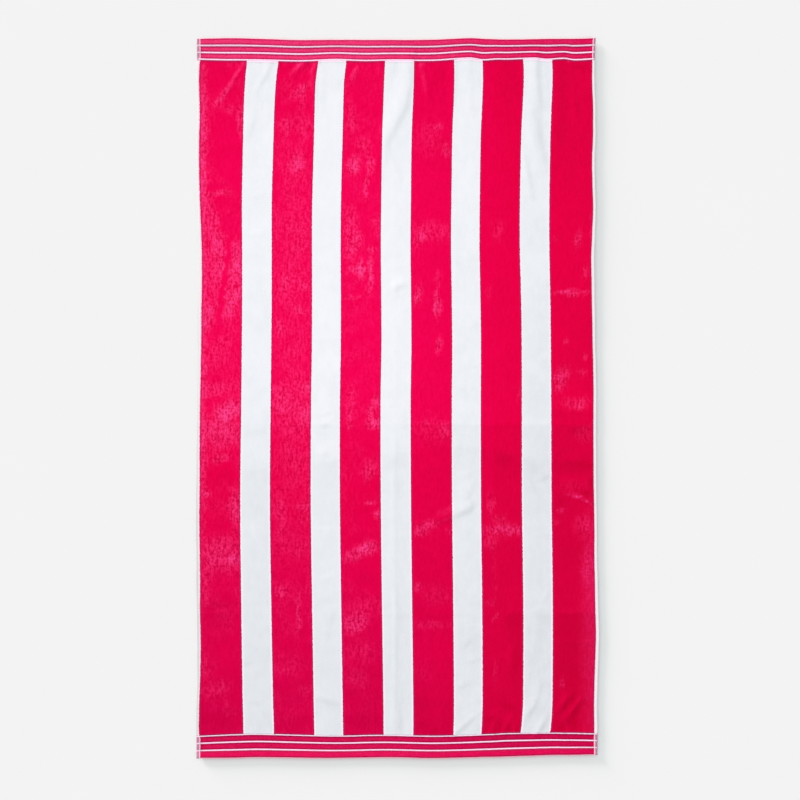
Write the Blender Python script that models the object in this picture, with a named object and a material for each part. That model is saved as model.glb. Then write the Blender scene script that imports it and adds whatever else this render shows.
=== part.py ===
"""Beach towel, laid out flat and face up on a surface. Metres, +Z up.

The towel is one piece of cotton cloth: velour terry woven in lengthwise pink
and white stripes, a flat-woven border without pile across each end, and four
edges folded to the back and sewn down. It is modelled as one closed sheet. The
sheet lies flat but for its fold lines and the puckers that run in from its
borders, where it stands a few millimetres off the surface.

+X runs across the towel, +Y along it and +Z out of its face. The origin is the
middle of its underside, on the surface.
"""

import math

import bpy

MM = 0.001

# The hemmed cloth.
WIDTH = 1.000
LENGTH = 1.800

# How thick it is: the pile and its ground, the flat weave, and the folded hems.
PILE_THICKNESS = 0.0030
BORDER_THICKNESS = 0.0014
SIDE_HEM_THICKNESS = 0.0024
END_HEM_THICKNESS = 0.0028

# How deep the hems and borders are, from the edge inwards.
SIDE_HEM = 0.0075
END_HEM = 0.0180
TOP_BORDER = 0.0520
BOTTOM_BORDER = 0.0575
HEM_STEP = 0.0020
PILE_RISE = 0.0030
SAME_PLACE = 0.0002

# The stripes, from the middle of the cloth outwards.
WHITE_STRIPE = 0.0740
PINK_STRIPE = 0.1000

# The longest cells of the sheet: across it, along plain cloth, at the puckers
# beside the borders, and at a crease in the open cloth.
STRIPE_CELL = 0.0205
PLAIN_CELL = 0.0600
PUCKER_CELL = 0.0125
CREASE_CELL = 0.0240
BORDER_CELL = 0.0200
PUCKER_REACH = 0.105
CREASED_STRETCH = (-0.330, -0.165)

# How far the cloth lies to the right of its straight place, in millimetres: a
# row for each place along the cloth, a column for each line across it.
SWAY_PLACES = (-0.500, -0.348, -0.174, 0.000, 0.174, 0.348, 0.500)
SWAY_ROWS = (
    # along   left  white 1  white 2  white 3  white 4  white 5  right
    (-0.900, (-1.9, 1.5, 2.0, 2.0, 1.0, -1.0, 1.4)),
    (-0.830, (-1.9, 2.0, 2.6, 3.1, 2.0, -1.6, 1.9)),
    (-0.755, (-1.9, -0.1, 1.3, 2.8, 3.6, 3.4, 2.6)),
    (-0.505, (-1.9, -4.5, -2.6, -0.5, 2.0, 4.1, 0.6)),
    (-0.255, (-0.6, -7.4, -5.8, -3.3, -0.8, 1.0, 0.0)),
    (-0.005, (2.2, -5.1, -5.4, -4.1, -1.4, 0.5, -1.9)),
    (0.245, (2.6, -2.8, -2.9, -2.6, -1.9, -1.6, -4.0)),
    (0.495, (0.6, -2.8, -2.5, -2.9, -3.1, -4.5, -4.4)),
    (0.745, (-1.4, 3.9, 3.6, 2.6, 2.9, 2.6, -4.4)),
    (0.820, (-1.9, 8.8, 8.4, 5.0, 4.1, 4.5, -4.4)),
    (0.900, (-1.9, 5.0, 5.0, 3.0, 2.5, 1.0, -1.9)),
)

# How far each end lies above its straight place, in millimetres: a row for
# each place across, with columns for the towel's two edges and the two lines
# where the pile meets a border.
END_ROWS = (
    # across  bottom edge, bottom pile line, top pile line, top edge
    (-0.500, (1.0, -1.5, -1.5, -1.0)),
    (-0.404, (1.8, 3.0, -3.0, -0.5)),
    (-0.352, (2.8, 4.0, -4.2, -1.5)),
    (-0.254, (1.3, 2.5, -6.0, -4.2)),
    (-0.167, (0.4, 0.8, -2.5, -4.0)),
    (-0.079, (2.0, 1.0, -4.2, -4.0)),
    (0.083, (0.3, 0.3, -3.5, -4.0)),
    (0.178, (2.3, 1.0, 0.7, -0.5)),
    (0.271, (4.8, 5.5, -0.8, -3.2)),
    (0.348, (6.8, 7.7, 0.5, -2.2)),
    (0.421, (9.0, 6.0, 0.7, -1.0)),
    (0.500, (9.8, 6.0, -1.0, -0.5)),
)
END_SWAY_REACH = 0.090

# Creases, in millimetres: how high each stands, half its width, how strong it
# is at its first and its last point, and the line that it follows. A pucker is
# strong at the border and dies away in the pile.
CREASES = (
    (2.6, 15.0, 1.0, 0.0, ((-383, 845), (-421, 760), (-456, 715))),
    (3.0, 15.0, 1.0, 0.0, ((-313, 845), (-336, 775), (-376, 645))),
    (2.4, 14.0, 1.0, 0.0, ((-241, 845), (-268, 785))),
    (2.4, 14.0, 1.0, 0.0, ((-208, 845), (-213, 785), (-208, 695))),
    (1.5, 14.0, 1.0, 0.0, ((-108, 840), (-126, 770))),
    (3.2, 16.0, 1.0, 0.0, ((37, 850), (19, 745), (-13, 665), (-31, 582), (-51, 482))),
    (1.4, 16.0, 1.0, 0.0, ((132, 845), (109, 705))),
    (2.2, 14.0, 1.0, 0.0, ((150, 845), (147, 695))),
    (2.8, 15.0, 1.0, 0.0, ((344, 850), (349, 695), (367, 525))),
    (2.0, 15.0, 0.0, 0.0, ((317, 720), (354, 550))),
    (2.4, 16.0, 0.0, 0.0, ((194, -175), (184, -215), (162, -263), (147, -305))),
    (1.8, 16.0, 1.0, 0.0, ((170, -282), (109, -303), (49, -320))),
    (3.0, 14.0, 1.0, 0.0, ((152, -845), (179, -810), (218, -770))),
    (2.6, 14.0, 1.0, 0.0, ((309, -845), (352, -765), (367, -690))),
    (2.2, 13.0, 1.0, 0.0, ((346, -845), (382, -775))),
    (1.8, 14.0, 0.0, 0.0, ((405, -805), (444, -728))),
    (1.8, 14.0, 0.0, 0.0, ((434, -815), (477, -730))),
    (2.2, 14.0, 0.0, 0.0, ((-215, -732), (-171, -758), (-126, -778))),
    (1.8, 14.0, 1.0, 0.0, ((-311, -840), (-336, -790), (-360, -757))),
    (1.5, 14.0, 1.0, 0.0, ((259, -840), (281, -770))),
)

# Folds kept from when the towel was folded up: where each lies along or across
# the cloth, how high it stands and half its width, in millimetres.
FOLDS_ACROSS = (
    # along, height, half width
    (-540.0, 1.0, 16.0),
    (-66.0, 1.6, 16.0),
)
MIDDLE_FOLD = (-7.0, 1.4, 14.0)

PINK = (0.83, 0.008, 0.074)
WHITE = (0.84, 0.87, 0.89)
ROUGHNESS = 0.9


def between(rows, place):
    """The values at a place, on smooth curves through a table's rows."""
    last = len(rows) - 1
    i = 0
    while i < last - 1 and place > rows[i + 1][0]:
        i += 1
    span = rows[i + 1][0] - rows[i][0]
    share = min(max((place - rows[i][0]) / span, 0.0), 1.0)
    before, after = max(i - 1, 0), min(i + 2, last)
    values = []
    for k in range(len(rows[0][1])):
        low, high = rows[i][1][k], rows[i + 1][1][k]
        slope_low = (high - rows[before][1][k]) / (rows[i + 1][0] - rows[before][0])
        slope_high = (rows[after][1][k] - low) / (rows[after][0] - rows[i][0])
        values.append(
            low * (1 + 2 * share) * (1 - share) ** 2
            + high * (3 - 2 * share) * share**2
            + slope_low * span * share * (1 - share) ** 2
            - slope_high * span * share**2 * (1 - share)
        )
    return values


def sway_across(across, along):
    """How far a point of the cloth lies to the right of its straight place."""
    values = between(SWAY_ROWS, along)
    knots = [(place, (value,)) for place, value in zip(SWAY_PLACES, values)]
    return between(knots, across)[0] * MM


def sway_along(across, along):
    """How far a point of the cloth lies above its straight place."""
    bottom_edge, bottom_pile, top_pile, top_edge = between(END_ROWS, across)
    bottom_line = BOTTOM_BORDER - LENGTH / 2
    top_line = LENGTH / 2 - TOP_BORDER
    knots = (
        (-LENGTH / 2, (bottom_edge,)),
        (bottom_line, (bottom_pile,)),
        (bottom_line + END_SWAY_REACH, (0.0,)),
        (bottom_line + 2 * END_SWAY_REACH, (0.0,)),
        (top_line - 2 * END_SWAY_REACH, (0.0,)),
        (top_line - END_SWAY_REACH, (0.0,)),
        (top_line, (top_pile,)),
        (LENGTH / 2, (top_edge,)),
    )
    return between(knots, along)[0] * MM


def ease(share):
    """A smooth step from 0 to 1."""
    share = min(max(share, 0.0), 1.0)
    return share * share * (3 - 2 * share)


def ridge(height, half_width, distance):
    """The height of a soft ridge at a distance from its crest."""
    if abs(distance) >= half_width:
        return 0.0
    return height * math.cos(math.pi / 2 * distance / half_width) ** 2


def nearest_on(path, x, y):
    """How far a point lies from a path, and how far along it that is, from 0 to 1."""
    lengths = [math.dist(a, b) for a, b in zip(path, path[1:])]
    nearest, share = math.inf, 0.0
    passed = 0.0
    for (ax, ay), (bx, by), length in zip(path, path[1:], lengths):
        t = ((x - ax) * (bx - ax) + (y - ay) * (by - ay)) / length**2
        t = min(max(t, 0.0), 1.0)
        distance = math.hypot(x - ax - t * (bx - ax), y - ay - t * (by - ay))
        if distance < nearest:
            nearest, share = distance, (passed + t * length) / sum(lengths)
        passed += length
    return nearest, share


def crease_height(x, y, crease):
    """How high one crease lifts the cloth, in millimetres."""
    height, half_width, first, last, path = crease
    distance, share = nearest_on(path, x, y)
    rise = first + (1 - first) * ease(share / 0.3)
    fall = 1 - (1 - last) * ease((share - 0.35) / 0.65)
    return ridge(height * rise * fall, half_width, distance)


def lift(x, y):
    """The height of the cloth's underside above the surface."""
    x, y = x / MM, y / MM
    place, height, half_width = MIDDLE_FOLD
    heights = [ridge(height, half_width, x - place)]
    heights += [ridge(height, half, y - place) for place, height, half in FOLDS_ACROSS]
    heights += [crease_height(x, y, crease) for crease in CREASES]
    return max(heights) * MM


def border_depth(along):
    """How deep the border is at the end that a place along the cloth is nearer to."""
    return TOP_BORDER if along > 0 else BOTTOM_BORDER


def thickness(across, along):
    """How thick the cloth is: hem, border or pile."""
    from_side = WIDTH / 2 - abs(across)
    from_end = LENGTH / 2 - abs(along)
    if from_end < END_HEM + SAME_PLACE:
        return END_HEM_THICKNESS
    if from_side < SIDE_HEM + SAME_PLACE:
        return SIDE_HEM_THICKNESS
    if from_end < border_depth(along) + SAME_PLACE:
        return BORDER_THICKNESS
    return PILE_THICKNESS


def stations(stops):
    """Every stop, and even steps between them no longer than each stop says."""
    places = [stops[0][0]]
    for (start, longest), (end, _) in zip(stops, stops[1:]):
        count = max(math.ceil((end - start) / longest - 1e-6), 1)
        places += [start + (end - start) * (i + 1) / count for i in range(count)]
    return places


def stripe_edges():
    """Where the stripes change colour on the right half of the cloth."""
    edges = [WHITE_STRIPE / 2]
    for width in (PINK_STRIPE, WHITE_STRIPE, PINK_STRIPE, WHITE_STRIPE):
        edges.append(edges[-1] + width)
    return edges


def column_places():
    """The lines of the sheet's cells across the cloth."""
    half = WIDTH / 2
    place, _, half_width = MIDDLE_FOLD
    stops = [(edge * side, STRIPE_CELL) for edge in stripe_edges() for side in (-1, 1)]
    stops += [((place + side * half_width) * MM, STRIPE_CELL) for side in (-1, 0, 1)]
    stops += [
        (-half, SIDE_HEM),
        (-half + SIDE_HEM, PILE_RISE),
        (-half + SIDE_HEM + PILE_RISE, STRIPE_CELL),
        (half - SIDE_HEM - PILE_RISE, PILE_RISE),
        (half - SIDE_HEM, SIDE_HEM),
        (half, SIDE_HEM),
    ]
    return stations(sorted(stops))


def row_places():
    """The lines of the sheet's cells along the cloth."""
    half = LENGTH / 2
    bottom_line = BOTTOM_BORDER - half
    top_line = half - TOP_BORDER
    stops = [
        (-half, END_HEM),
        (-half + END_HEM, HEM_STEP),
        (-half + END_HEM + HEM_STEP, BORDER_CELL),
        (bottom_line, PILE_RISE),
        (bottom_line + PILE_RISE, PUCKER_CELL),
        (bottom_line + PILE_RISE + PUCKER_REACH, PLAIN_CELL),
        (CREASED_STRETCH[0], CREASE_CELL),
        (CREASED_STRETCH[1], PLAIN_CELL),
        (top_line - PILE_RISE - PUCKER_REACH, PUCKER_CELL),
        (top_line - PILE_RISE, PILE_RISE),
        (top_line, BORDER_CELL),
        (half - END_HEM - HEM_STEP, HEM_STEP),
        (half - END_HEM, END_HEM),
        (half, END_HEM),
    ]
    for place, _, half_width in FOLDS_ACROSS:
        stops.append(((place - half_width) * MM, half_width * MM))
        stops.append((place * MM, half_width * MM))
        stops.append(((place + half_width) * MM, PLAIN_CELL))
    return stations(sorted(stops))


def is_white(across, along):
    """Whether a place on the cloth is in a white stripe or a side hem."""
    if abs(across) > WIDTH / 2 - SIDE_HEM:
        return True
    if LENGTH / 2 - abs(along) < border_depth(along):
        return False
    crossed = sum(1 for edge in stripe_edges() if edge < abs(across))
    return crossed % 2 == 0


def sheet_points(across, along):
    """The points of the face and of the underside, row by row."""
    face = []
    underside = []
    for v in along:
        for u in across:
            x = u + sway_across(u, v)
            y = v + sway_along(u, v)
            height = lift(x, y)
            underside.append((x, y, height))
            face.append((x, y, height + thickness(u, v)))
    points = face + underside
    middle_x = (min(p[0] for p in points) + max(p[0] for p in points)) / 2
    middle_y = (min(p[1] for p in points) + max(p[1] for p in points)) / 2
    return [(x - middle_x, y - middle_y, z) for x, y, z in points]


def sheet_faces(across, along):
    """The faces of the sheet, and which of the two colours each has."""
    wide, tall = len(across), len(along)
    below = wide * tall
    faces = []
    colours = []
    for j in range(tall - 1):
        for i in range(wide - 1):
            a, b = j * wide + i, j * wide + i + 1
            c, d = b + wide, a + wide
            faces += [(a, b, c, d), (below + d, below + c, below + b, below + a)]
            u = (across[i] + across[i + 1]) / 2
            v = (along[j] + along[j + 1]) / 2
            colours += [int(is_white(u, v))] * 2

    rim = list(range(wide))
    rim += [j * wide + wide - 1 for j in range(1, tall)]
    rim += [(tall - 1) * wide + i for i in range(wide - 2, -1, -1)]
    rim += [j * wide for j in range(tall - 2, 0, -1)]
    for start, end in zip(rim, rim[1:] + rim[:1]):
        faces.append((below + start, below + end, end, start))
        colours.append(int(start % wide == end % wide))
    return faces, colours


def towel_mesh():
    """The towel's closed sheet: its face, its underside and its rim."""
    across, along = column_places(), row_places()
    faces, colours = sheet_faces(across, along)
    mesh = bpy.data.meshes.new("towel")
    mesh.from_pydata(sheet_points(across, along), [], faces)
    mesh.polygons.foreach_set("material_index", colours)
    mesh.update()
    mesh.shade_smooth()
    mesh.set_sharp_from_angle(angle=math.radians(40))
    return mesh


def cotton(name, colour):
    """Matt cotton of one colour."""
    material = bpy.data.materials.new(name)
    material.use_nodes = True
    shader = material.node_tree.nodes["Principled BSDF"]
    shader.inputs["Base Color"].default_value = (*colour, 1.0)
    shader.inputs["Roughness"].default_value = ROUGHNESS
    shader.inputs["Metallic"].default_value = 0.0
    material.diffuse_color = (*colour, 1.0)
    return material


def main():
    for old in list(bpy.data.objects):
        bpy.data.objects.remove(old, do_unlink=True)
    mesh = towel_mesh()
    mesh.materials.append(cotton("pink_cotton", PINK))
    mesh.materials.append(cotton("white_cotton", WHITE))
    towel = bpy.data.objects.new("towel", mesh)
    bpy.context.scene.collection.objects.link(towel)


main()
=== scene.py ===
"""Striped velour beach towel, laid out flat and face up, seen from straight above.

The towel is one piece of cotton: velour terry woven in lengthwise pink and white
stripes, a flat-woven border across each end, and four edges folded to the back and
sewn down. Metres, +X across the towel, +Y along it, +Z out of its face.

A place on the cloth is given by u, across it, and v, along it, both from the middle of the flat cloth. The
tables of creases, of brushing and of painted light and shade are in millimetres. Those of swaying have
their places in metres and their shifts in millimetres.
"""

import math

import bpy
import numpy as np
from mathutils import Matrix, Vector


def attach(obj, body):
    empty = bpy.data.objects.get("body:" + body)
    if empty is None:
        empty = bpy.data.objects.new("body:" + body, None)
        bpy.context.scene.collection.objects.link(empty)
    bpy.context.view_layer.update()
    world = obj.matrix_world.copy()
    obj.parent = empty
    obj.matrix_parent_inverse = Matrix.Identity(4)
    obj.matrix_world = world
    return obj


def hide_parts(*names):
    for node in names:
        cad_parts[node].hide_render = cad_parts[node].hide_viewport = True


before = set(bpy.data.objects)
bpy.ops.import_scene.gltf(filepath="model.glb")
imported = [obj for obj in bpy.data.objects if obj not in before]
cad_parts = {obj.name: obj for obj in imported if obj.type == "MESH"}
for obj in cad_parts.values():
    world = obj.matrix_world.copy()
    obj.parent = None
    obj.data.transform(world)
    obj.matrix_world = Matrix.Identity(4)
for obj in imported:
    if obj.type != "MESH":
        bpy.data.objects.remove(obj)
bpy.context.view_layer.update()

MM = 0.001

# The hemmed cloth, and how deep its hems and borders are from the edge inwards.
WIDTH = 1.000
LENGTH = 1.800
SIDE_HEM = 0.0070
END_HEM = 0.0180
TOP_BORDER = 0.0534
BOTTOM_BORDER = 0.0594

# The stripes, from the middle of the cloth outwards, and how far out they are woven.
WHITE_STRIPE = 0.0726
PINK_STRIPE = 0.1014
STRIPED_REACH = 0.45

# How thick the cloth is at its hems, at the flat weave, and with its pile.
SIDE_HEM_THICKNESS = 2.5 * MM
END_HEM_THICKNESS = 2.8 * MM
BORDER_THICKNESS = 1.5 * MM
PILE_THICKNESS = 3.2 * MM

# How round the folded edges are, and how far in from them the outline's wobble reaches.
EDGE_RADIUS = 2.0 * MM
WOBBLE_REACH = 0.020

# How wide tufts and loops are, how far from another colour or a side hem the pile parts, with painted shade
# in the parting, and how far from a border, and how deep hems and borders are on the back.
TUFT = 1.1 * MM
LOOP = 1.9 * MM
PARTING = 3.6 * MM
END_PARTING = 2.6 * MM
BACK_HEM = 0.0105
BACK_BORDER = 0.054

# The white woven lines of each border, from the end inwards: place and half width.
TOP_LINES = ((0.0170, 0.00155), (0.0334, 0.00165), (0.0500, 0.00165))
BOTTOM_LINES = ((0.0202, 0.00165), (0.0391, 0.00165), (0.0572, 0.00130))

# How far the cloth lies to the right of its straight place: a row for each place
# along the cloth, a column for each line across it.
SWAY_PLACES = (-0.500, -0.348, -0.174, 0.000, 0.174, 0.348, 0.500)
SWAY_ROWS = (
    # along   left  white 1  white 2  white 3  white 4  white 5  right
    (-0.900, (-1.9, 1.5, 2.0, 2.0, 1.0, -1.0, 1.4)),
    (-0.850, (-1.9, 2.1, 2.6, 2.8, 1.7, -4.5, 1.9)),
    (-0.830, (-1.9, 2.0, 2.6, 3.1, 2.0, -1.4, 1.9)),
    (-0.805, (-1.5, 1.4, 2.1, 3.1, 2.9, 0.8, 1.6)),
    (-0.755, (-1.0, -0.1, 1.3, 2.8, 3.6, 3.4, 1.2)),
    (-0.505, (-0.8, -4.5, -2.6, -0.5, 2.0, 4.1, 1.4)),
    (-0.255, (-0.6, -7.4, -5.8, -3.3, -0.8, 1.0, 0.0)),
    (-0.005, (2.4, -5.1, -5.4, -4.1, -1.4, 0.5, -3.2)),
    (0.130, (3.6, -3.7, -3.4, -2.0, -0.7, -0.2, -5.0)),
    (0.245, (3.8, -2.8, -2.9, -2.6, -1.9, -1.6, -5.8)),
    (0.380, (2.3, -2.6, -3.3, -3.8, -4.0, -4.7, -4.6)),
    (0.495, (0.6, -2.8, -2.5, -2.9, -3.1, -4.5, -3.4)),
    (0.660, (-0.8, 1.3, 1.8, -0.7, -0.7, -1.3, -4.0)),
    (0.745, (-1.4, 3.9, 3.6, 2.6, 2.9, 2.6, -4.4)),
    (0.790, (-1.7, 6.8, 5.0, 4.2, 4.1, 4.5, -4.6)),
    (0.820, (-1.9, 9.2, 8.2, 5.0, 4.3, 4.9, -4.4)),
    (0.850, (-1.9, 12.5, 11.5, 5.5, 3.5, 3.0, -3.6)),
    (0.900, (-1.9, 5.0, 5.0, 3.0, 2.5, 1.0, -1.9)),
)

# How far the edge between two stripes lies to the right of that, all along the cloth.
STRIPE_EDGES = (-0.500, -0.384, -0.312, -0.210, -0.138, -0.036, 0.036, 0.138, 0.210, 0.312, 0.384, 0.500)
STRIPE_SHIFTS = (0.0, -1.5, 1.0, 0.5, -0.5, -1.0, 0.5, 0.5, -1.0, -1.0, 0.0, 0.0)

# How far each side lies to the right of where the rows above put it.
SIDE_ROWS = (
    # along  left edge, left pile edge, right pile edge, right edge
    (-0.900, (0.5, 2.5, -3.0, -2.0)),
    (-0.850, (0.0, 2.5, -3.5, -2.0)),
    (-0.835, (0.0, 0.0, -3.0, -1.0)),
    (-0.770, (-0.5, -0.5, -3.0, -1.0)),
    (-0.710, (1.5, 1.5, -2.0, 0.5)),
    (-0.650, (1.0, 3.0, 0.0, 2.5)),
    (-0.590, (1.0, 3.0, 1.5, 4.0)),
    (-0.525, (0.0, 1.5, 0.0, 2.0)),
    (-0.460, (-1.0, 2.0, -1.0, 0.5)),
    (-0.400, (-0.5, 1.5, -2.0, -1.0)),
    (-0.335, (-1.5, 0.5, -1.5, -1.0)),
    (-0.200, (-2.0, 0.0, -2.0, -1.0)),
    (-0.050, (-1.5, -1.0, -1.0, 0.0)),
    (0.040, (-1.5, -0.5, 0.5, 1.5)),
    (0.165, (-2.0, 0.5, -0.5, 0.5)),
    (0.230, (-1.0, 1.0, -1.5, 0.0)),
    (0.290, (1.5, 2.5, -2.5, -1.0)),
    (0.350, (2.5, 3.0, -4.0, -2.5)),
    (0.415, (2.0, 2.0, -2.0, -1.0)),
    (0.475, (0.5, 0.5, -0.5, 0.0)),
    (0.540, (-1.0, -1.0, -2.5, -2.0)),
    (0.600, (-1.5, -1.5, -3.0, -2.5)),
    (0.660, (-1.0, -0.5, -0.5, 0.0)),
    (0.720, (1.0, 1.0, 0.0, 0.0)),
    (0.790, (-0.5, -0.5, -2.5, -2.0)),
    (0.835, (0.0, 0.5, -2.5, -2.5)),
    (0.855, (1.0, 2.5, -3.0, -3.0)),
    (0.900, (1.0, 2.5, -3.0, -3.0)),
)
SIDE_SWAY_REACH = 0.050

# How far each end lies above its straight place.
END_ROWS = (
    # across  bottom edge, bottom pile line, top pile line, top edge
    (-0.500, (1.4, -1.0, -1.6, 0.0)),
    (-0.430, (1.7, 2.3, -3.4, 1.4)),
    (-0.404, (1.9, 3.3, -3.4, 1.5)),
    (-0.352, (3.0, 4.6, -4.0, 0.3)),
    (-0.254, (2.1, 2.1, -5.9, -3.1)),
    (-0.167, (1.1, 0.2, -2.6, -2.6)),
    (-0.115, (1.7, 0.3, -4.4, -2.4)),
    (-0.079, (2.3, 1.5, -5.0, -2.9)),
    (-0.020, (3.1, 1.8, -3.8, -2.9)),
    (0.083, (1.3, -0.4, -4.4, -2.7)),
    (0.178, (2.9, 1.7, 0.8, 1.5)),
    (0.212, (3.8, 3.2, -3.4, 0.1)),
    (0.245, (4.4, 4.3, -1.2, -1.5)),
    (0.271, (5.0, 6.0, -1.4, -2.0)),
    (0.340, (7.3, 7.0, 0.5, -1.3)),
    (0.372, (8.5, 7.4, -2.3, -0.4)),
    (0.400, (9.2, 7.3, -0.3, -0.5)),
    (0.419, (9.0, 6.9, 0.2, -0.2)),
    (0.441, (9.4, 6.7, -3.2, -0.3)),
    (0.500, (10.8, 5.9, -1.6, 0.5)),
)
END_SWAY_REACH = 0.090

# Creases: how high each stands, how wide its steep side is, how strong it is at its
# first and its last point, and the line that its crest follows. Each falls steeply
# on the side away from the light and gently on the other.
CREASES = (
    # puckers that run down from the top border, left to right
    (0.8, 5, 0.9, 0.1, ((-378, 838), (-399, 804), (-420, 775), (-438, 753), (-456, 724), (-464, 710))),
    (0.55, 7, 1, 0.1, ((-316, 842), (-328, 808), (-342, 789), (-350, 770), (-354, 735))),
    (0.6, 12, 0.2, 0.3, ((-358, 715), (-372, 650))),
    (1.1, 6, 1, 0.2, ((-226, 842), (-246, 822), (-268, 797))),
    (0.8, 6, 1, 0.2, ((-196, 842), (-208, 815), (-206, 775), (-203, 715))),
    (0.35, 9, 1, 0, ((-186, 825), (-188, 700))), (0.6, 5, 1, 0.2, ((-98, 822), (-112, 800), (-118, 782))),
    (0.5, 5, 1, 0, ((-42, 840), (-42, 790))), (0.4, 9, 1, 0, ((-8, 845), (-7, 790))),
    (1.7, 18, 1, 0.2, ((32, 850), (30, 795), (19, 740), (-3, 695), (-30, 640), (-38, 590), (-46, 540))),
    (0.9, 7, 1, 0.2, ((66, 830), (76, 780), (88, 722))), (0.5, 13, 1, 0, ((132, 847), (109, 702))),
    (0.8, 10, 1, 0, ((141, 847), (139, 690))), (0.45, 12, 1, 0, ((180, 847), (184, 690))),
    (1.6, 12, 1, 0.3, ((346, 850), (347, 800), (349, 770), (352, 728))),
    (1.5, 17, 0.7, 0.2, ((336, 716), (351, 650), (366, 575))),
    (0.9, 8, 0.5, 0.2, ((318, 600), (330, 548), (339, 502))),
    (0.9, 6, 1, 0.2, ((436, 842), (448, 833), (464, 822), (470, 800))),
    # creases in the open cloth, top to bottom
    (0.5, 5, 1, 0, ((-490, 537), (-425, 540))), (0.4, 5, 1, 0, ((-490, 507), (-405, 508))),
    (0.4, 6, 0, 0, ((-371, 503), (-321, 508))), (0.5, 6, 0, 0, ((-433, 452), (-415, 466), (-391, 480))),
    (0.4, 6, 0, 0, ((-371, 415), (-316, 416))),
    (0.8, 8, 0, 0, ((-14, 262), (-2, 281), (12, 286), (31, 283))),
    (0.7, 4, 0.5, 0.5, ((398, 259), (440, 268), (482, 261))),
    (0.6, 4, 0.5, 0.5, ((398, 263), (432, 256), (472, 254))),
    (0.5, 6, 0, 0, ((-190, -47), (-171, -33), (-154, -41))), (0.4, 7, 0, 0, ((-363, -80), (-319, -81))),
    (0.6, 12, 0, 0, ((-210, -135), (-144, -133))),
    (0.9, 14, 0, 0, ((194, -175), (184, -215), (162, -263), (147, -305))),
    (1.2, 13, 1, 0, ((178, -272), (109, -303), (49, -320))), (0.4, 6, 0, 0, ((358, -190), (380, -197))),
    (0.5, 5, 1, 0, ((-490, -245), (-430, -246))), (0.4, 4, 1, 0, ((-490, -258), (-432, -259))),
    (0.4, 4, 1, 0, ((-490, -270), (-440, -271))),
    (1, 6, 0.5, 0.5, ((432, -242), (452, -249), (472, -256), (489, -261))),
    (0.5, 7, 0, 0, ((355, -518), (384, -472))), (0.5, 5, 1, 0, ((-490, -511), (-391, -512))),
    (0.5, 5, 1, 0, ((-490, -538), (-391, -541))), (0.5, 5, 0, 0, ((-133, -546), (-33, -546))),
    (0.5, 8, 0, 0, ((140, -558), (214, -559))), (0.4, 5, 0, 1, ((392, -533), (492, -534))),
    (0.4, 5, 0, 1, ((392, -607), (492, -610))),
    # puckers that run up from the bottom border, left to right
    (0.7, 10, 1, 0, ((-311, -842), (-336, -790), (-360, -755))),
    (0.8, 9, 0, 0, ((-216, -731), (-171, -758), (-125, -779))),
    (1, 6, 0.8, 0.3, ((136, -848), (150, -832), (178, -806), (208, -781))),
    (0.5, 9, 0, 0, ((149, -631), (209, -575))), (0.4, 8, 0, 0, ((142, -722), (190, -709))),
    (0.4, 8, 0, 0, ((172, -656), (216, -650))), (0.7, 6, 1, 0.3, ((240, -842), (245, -815), (256, -790))),
    (0.7, 6, 1, 0.3, ((266, -842), (276, -812), (290, -785))), (0.5, 6, 1, 0, ((293, -845), (302, -800))),
    (1, 8, 0.1, 0, ((310, -830), (320, -798), (340, -770), (356, -725), (363, -680))),
    (0.9, 7, 1, 0, ((344, -846), (360, -818), (380, -790))),
    (1.1, 7, 0.5, 0.2, ((400, -784), (414, -762), (431, -744), (440, -724))),
    (1.3, 8, 0.5, 0.2, ((418, -806), (438, -780), (460, -750), (466, -722))),
    (0.6, 4, 1, 0, ((414, -842), (416, -815))), (0.6, 4, 1, 0, ((456, -842), (459, -812))),
    (0.5, 4, 1, 0, ((472, -842), (474, -815))),
)
GENTLE_SIDE = 2.4

# Folds kept from when the towel was folded up: place, height and steep side.
FOLDS_ACROSS = ((-540.0, 0.25, 7.0), (-66.0, 0.22, 6.0))
MIDDLE_FOLD = (-6.0, 0.30, 5.0)
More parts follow.
